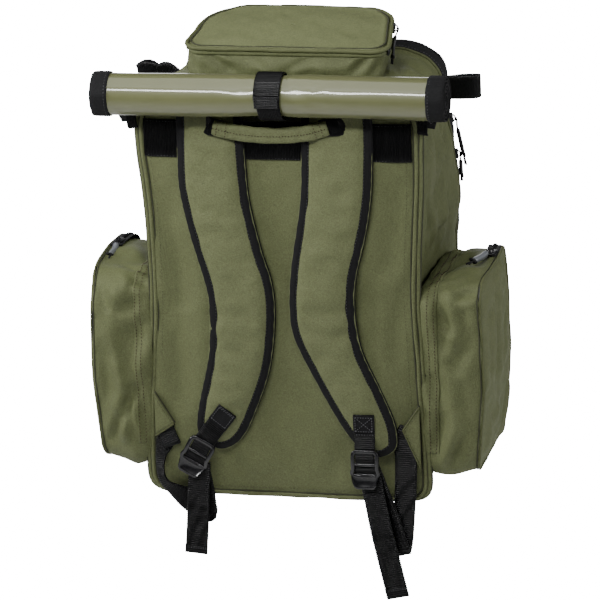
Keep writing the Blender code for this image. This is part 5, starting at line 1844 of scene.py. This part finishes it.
def side_zip(side, sign, outer, edge_x):
    """Zip along the top of the outer edge, running down the near side as a narrow line."""
    out = -outward(outer)
    y, z = outer.T

    def edge_at(index, inset, lift):
        place = outer[index] + out[index] * lift
        return (xyz(sign * (edge_x[index] - inset), place[:, 0], place[:, 1]),
                xyz(0.0, out[index, 0], out[index, 1]))

    top = np.flatnonzero((z > 0.268) & (y > -0.0230) & (out[:, 1] > 0.30))
    path, outs = edge_at(np.arange(top.min(), top.max() + 1), 0.0098, 0.0024)
    path = path - outs * 0.00064 * np.sin(np.linspace(0, pi, len(path)))[:, None]
    flat_tape("side_zip_tape_" + side, path, outs, 0.0085, "root",
              replaces=("side_zip_" + side,))
    coil("side_zip_coil_" + side, path + outs * 0.0011, outs, "root", 0.0028, 0.0014)
    near = np.flatnonzero((z > 0.192) & (out[:, 0] < -0.3))
    coil("side_zip_hidden_near_" + side, *edge_at(near, 0.0006, 0.0012), "root", 0.0008, 0.0006)


def side_flange(side, sign, wall, wall_out):
    """A strip sewn to the body up the near side and back over the top."""
    index = np.arange(2, NEAR_EDGE_COUNT + CORNER_COUNT + 38)

    def on_wall(share, lift):
        column = share * (SIDE_COLUMNS - 1)
        j = int(column)
        line = wall[:, j] * (1 - column + j) + wall[:, j + 1] * (column - j)
        return (line + wall_out[:, j] * lift)[index]

    strip = np.stack([on_wall(share, lift) for share, lift in FLANGE], 1)
    sheet("side_flange_" + side, strip, "olive", (sign * 0.20, -0.03, 0.16), "root")
    lines = [(on_wall(share, 0.0014), wall_out[index, 2]) for share in SIDE_DETAIL[side][0]]
    stitches("side_flange_thread_" + side, lines, "thread", "root", length=0.0032, gap=0.0012,
             radius=0.00062, lift=0.0011)


def side_pocket(side, sign):
    inner = side_outline(-0.1262, 0.0710, SIDE_Z0, 0.2800, 0.022, 0.020)
    outer = side_outline(-0.1300, 0.0600, SIDE_Z0 + 0.0015, 0.2925, 0.030 if sign > 0 else 0.050,
                         0.022)
    depth = np.clip((outer[:, 0] + 0.130) / 0.190, 0, 1)    # share of the way from near to far
    arch = np.sin(pi * depth ** (1.6 if sign > 0 else 1.9)) ** 0.8
    outer[:, 1] += 0.0052 * arch * smooth(0.262, 0.290, outer[:, 1])
    edge_x = (face_x(outer[:, 1])
              + 0.0060 * np.sin(pi * depth) * smooth(0.24, 0.29, outer[:, 1]))

    wall, wall_out = side_wall(side, sign, inner, outer, edge_x)
    lining = inward_rings(inner, np.array((-0.03, 0.16)), (0.02, 0.3, 0.6, 0.9, 0.99))
    sheet("side_pocket_lining_" + side, xyz(sign * 0.1812, lining[..., 0], lining[..., 1]),
          "lining", (0, -0.03, 0.16), "root", wrap_rows=True, solid=0.0006)
    side_face(side, sign, outer, edge_x)
    # dark line where the wall meets the outer face: painted shade
    tube("side_pocket_painted_shade_" + side, ring(wall[:, -2] + wall_out[:, -2] * 0.0003), 0.0009,
         "groove", (sign, 0, 0), "root", closed=True, sides=8)
    side_zip(side, sign, outer, edge_x)
    side_flange(side, sign, wall, wall_out)
    seam = inner[(inner[:, 0] > -0.118) | (inner[:, 1] > 0.26)][:150]
    seam = wobble(xyz(sign * 0.1815, seam[:, 0], seam[:, 1]), 0.0003, 0.05, 145)
    tube("side_pocket_base_seam_" + side, seam, 0.0022, "trim", (sign, 0, 0), "root")
    _, run_x, run_z, drop, length = SIDE_DETAIL[side]
    slider_and_puller("side_" + side, base=(sign * 0.2500, -0.0100, 0.2990), out=(0, 0, 1),
                      run=(run_x * sign, -0.937, run_z), drop=drop, length=length, grow=1.35,
                      tube_radius=0.0042, reach=(0.22, 0.72))


for side, sign in SIDES.items():
    side_pocket(side, sign)

# ---------------------------------------------------------------- sliders of the main zip, at +X
SLIDER_Y = 0.111
# name, z, direction of the puller, its length
MAIN_SLIDERS = [("main_upper", 0.4470, (0.20, 0, -0.98), 0.0680),
                ("main_lower", 0.3980, (0.02, 0.10, -0.99), 0.0400)]
slider_line = gusset_at([(SLIDER_Y - BACK_Y) / (FRONT_Y - BACK_Y)], 0.0020)[0][:, 0]
slider_line = slider_line[slider_line[:, 0] >= 0]
for name, z, run, length in MAIN_SLIDERS:
    x = slider_line[np.argmin((slider_line[:, 2] - z) ** 2), 0]
    slider_and_puller(name, base=(x, SLIDER_Y, z), out=(1, 0, 0), run=run, drop=0.0005,
                      length=length, tube_radius=0.0028, tube_key="tube_dark",
                      reach=(0.24, 0.76))

# ---------------------------------------------------------------- CAD boards inside the pack
for node in ("frame_sheet", "base_board"):
    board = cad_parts[node]
    slot, material = LOOKS["board"]
    board.data.materials.clear()
    board.data.materials.append(material)

# ================================================================ stage, light and camera
FLOOR_Z, FLOOR_HALF = -0.1375, 9


def add_object(name, data):
    obj = bpy.data.objects.new(name, data)
    bpy.context.scene.collection.objects.link(obj)
    return obj


def studio_floor():
    """White floor: the glow is seen by the camera only, so it adds no light to the pack."""
    material, tree, shader = principled("studio_floor")
    set_inputs(shader, {"Base Color": (0.90, 0.90, 0.90, 1), "Roughness": 0.9})
    camera_ray = tree.nodes.new("ShaderNodeLightPath").outputs["Is Camera Ray"]
    glow = tree.nodes.new("ShaderNodeEmission")
    tree.links.new(math_node(tree, "MULTIPLY", camera_ray, 20.0), glow.inputs["Strength"])
    both = tree.nodes.new("ShaderNodeAddShader")
    tree.links.new(shader.outputs[0], both.inputs[0])
    tree.links.new(glow.outputs[0], both.inputs[1])
    tree.links.new(both.outputs[0], tree.nodes["Material Output"].inputs["Surface"])
    mesh = bpy.data.meshes.new("studio_floor")
    corners = [(x * FLOOR_HALF, y * FLOOR_HALF, FLOOR_Z)
               for x, y in ((-1, -1), (1, -1), (1, 1), (-1, 1))]
    mesh.from_pydata(corners, [], [(0, 1, 2, 3)])
    mesh.materials.append(material)
    add_object("studio_floor", mesh)


def studio_world():
    """A faint white surround that the camera sees as bright white."""
    world = bpy.data.worlds.new("studio_world")
    bpy.context.scene.world = world
    world.use_nodes = True
    tree = world.node_tree
    background = tree.nodes["Background"]
    background.inputs["Color"].default_value = (1, 1, 1, 1)
    camera_ray = tree.nodes.new("ShaderNodeLightPath").outputs["Is Camera Ray"]
    seen = math_node(tree, "MULTIPLY", camera_ray, 34.0)
    tree.links.new(math_node(tree, "ADD", seen, 0.05), background.inputs["Strength"])


def area(name, at, aim, size, power, size_y=None):
    """A square area light, or a rectangular one if size_y is given."""
    data = bpy.data.lights.new(name, "AREA")
    data.energy, data.size = power, size
    if size_y:
        data.shape, data.size_y = "RECTANGLE", size_y
    obj = add_object(name, data)
    obj.location = at
    obj.rotation_euler = (Vector(aim) - Vector(at)).to_track_quat("-Z", "Y").to_euler()


def photo_camera(target, azimuth, elevation, roll, distance, lens):
    """Looks at the target from -Y, turned by azimuth towards +X and raised by elevation."""
    back = Vector((sin(azimuth) * cos(elevation), -cos(azimuth) * cos(elevation),
                   sin(elevation)))
    level = Vector((cos(azimuth), sin(azimuth), 0))
    upright = back.cross(level)
    right = level * cos(roll) - upright * sin(roll)
    up = level * sin(roll) + upright * cos(roll)
    place = Vector(target) + back * distance
    data = bpy.data.cameras.new("photo_camera")
    data.lens, data.sensor_width = lens, 36.0
    data.clip_start, data.clip_end = 0.1, 100
    camera = add_object("photo_camera", data)
    rows = [(right[i], up[i], back[i], place[i]) for i in range(3)]
    camera.matrix_world = Matrix((*rows, (0, 0, 0, 1)))
    bpy.context.scene.camera = camera


studio_floor()
studio_world()
area("key_soft", at=(-0.07, -0.88, 1.03), aim=(-0.02, -0.13, 0.46), size=0.70, power=9.0,
     size_y=0.10)
area("side_soft", at=(-1.35, -0.55, 1.00), aim=(-0.1, -0.1, 0.25), size=0.35, power=17)
area("fill_soft", at=(1.8, 0.10, 0.9), aim=(0.1, 0, 0.25), size=0.9, power=17)
area("top_soft", at=(-0.20, -0.40, 1.75), aim=(0, 0, 0.4), size=1.4, power=12)
area("front_soft", at=(-0.5, 2.1, 0.45), aim=(0, 0, 0.30), size=1.2, power=10)
photo_camera(target=(-0.00162, -0.032, 0.234487), azimuth=radians(13.3533),
             elevation=radians(17.2743), roll=radians(2.15675), distance=5.61115, lens=257.14)
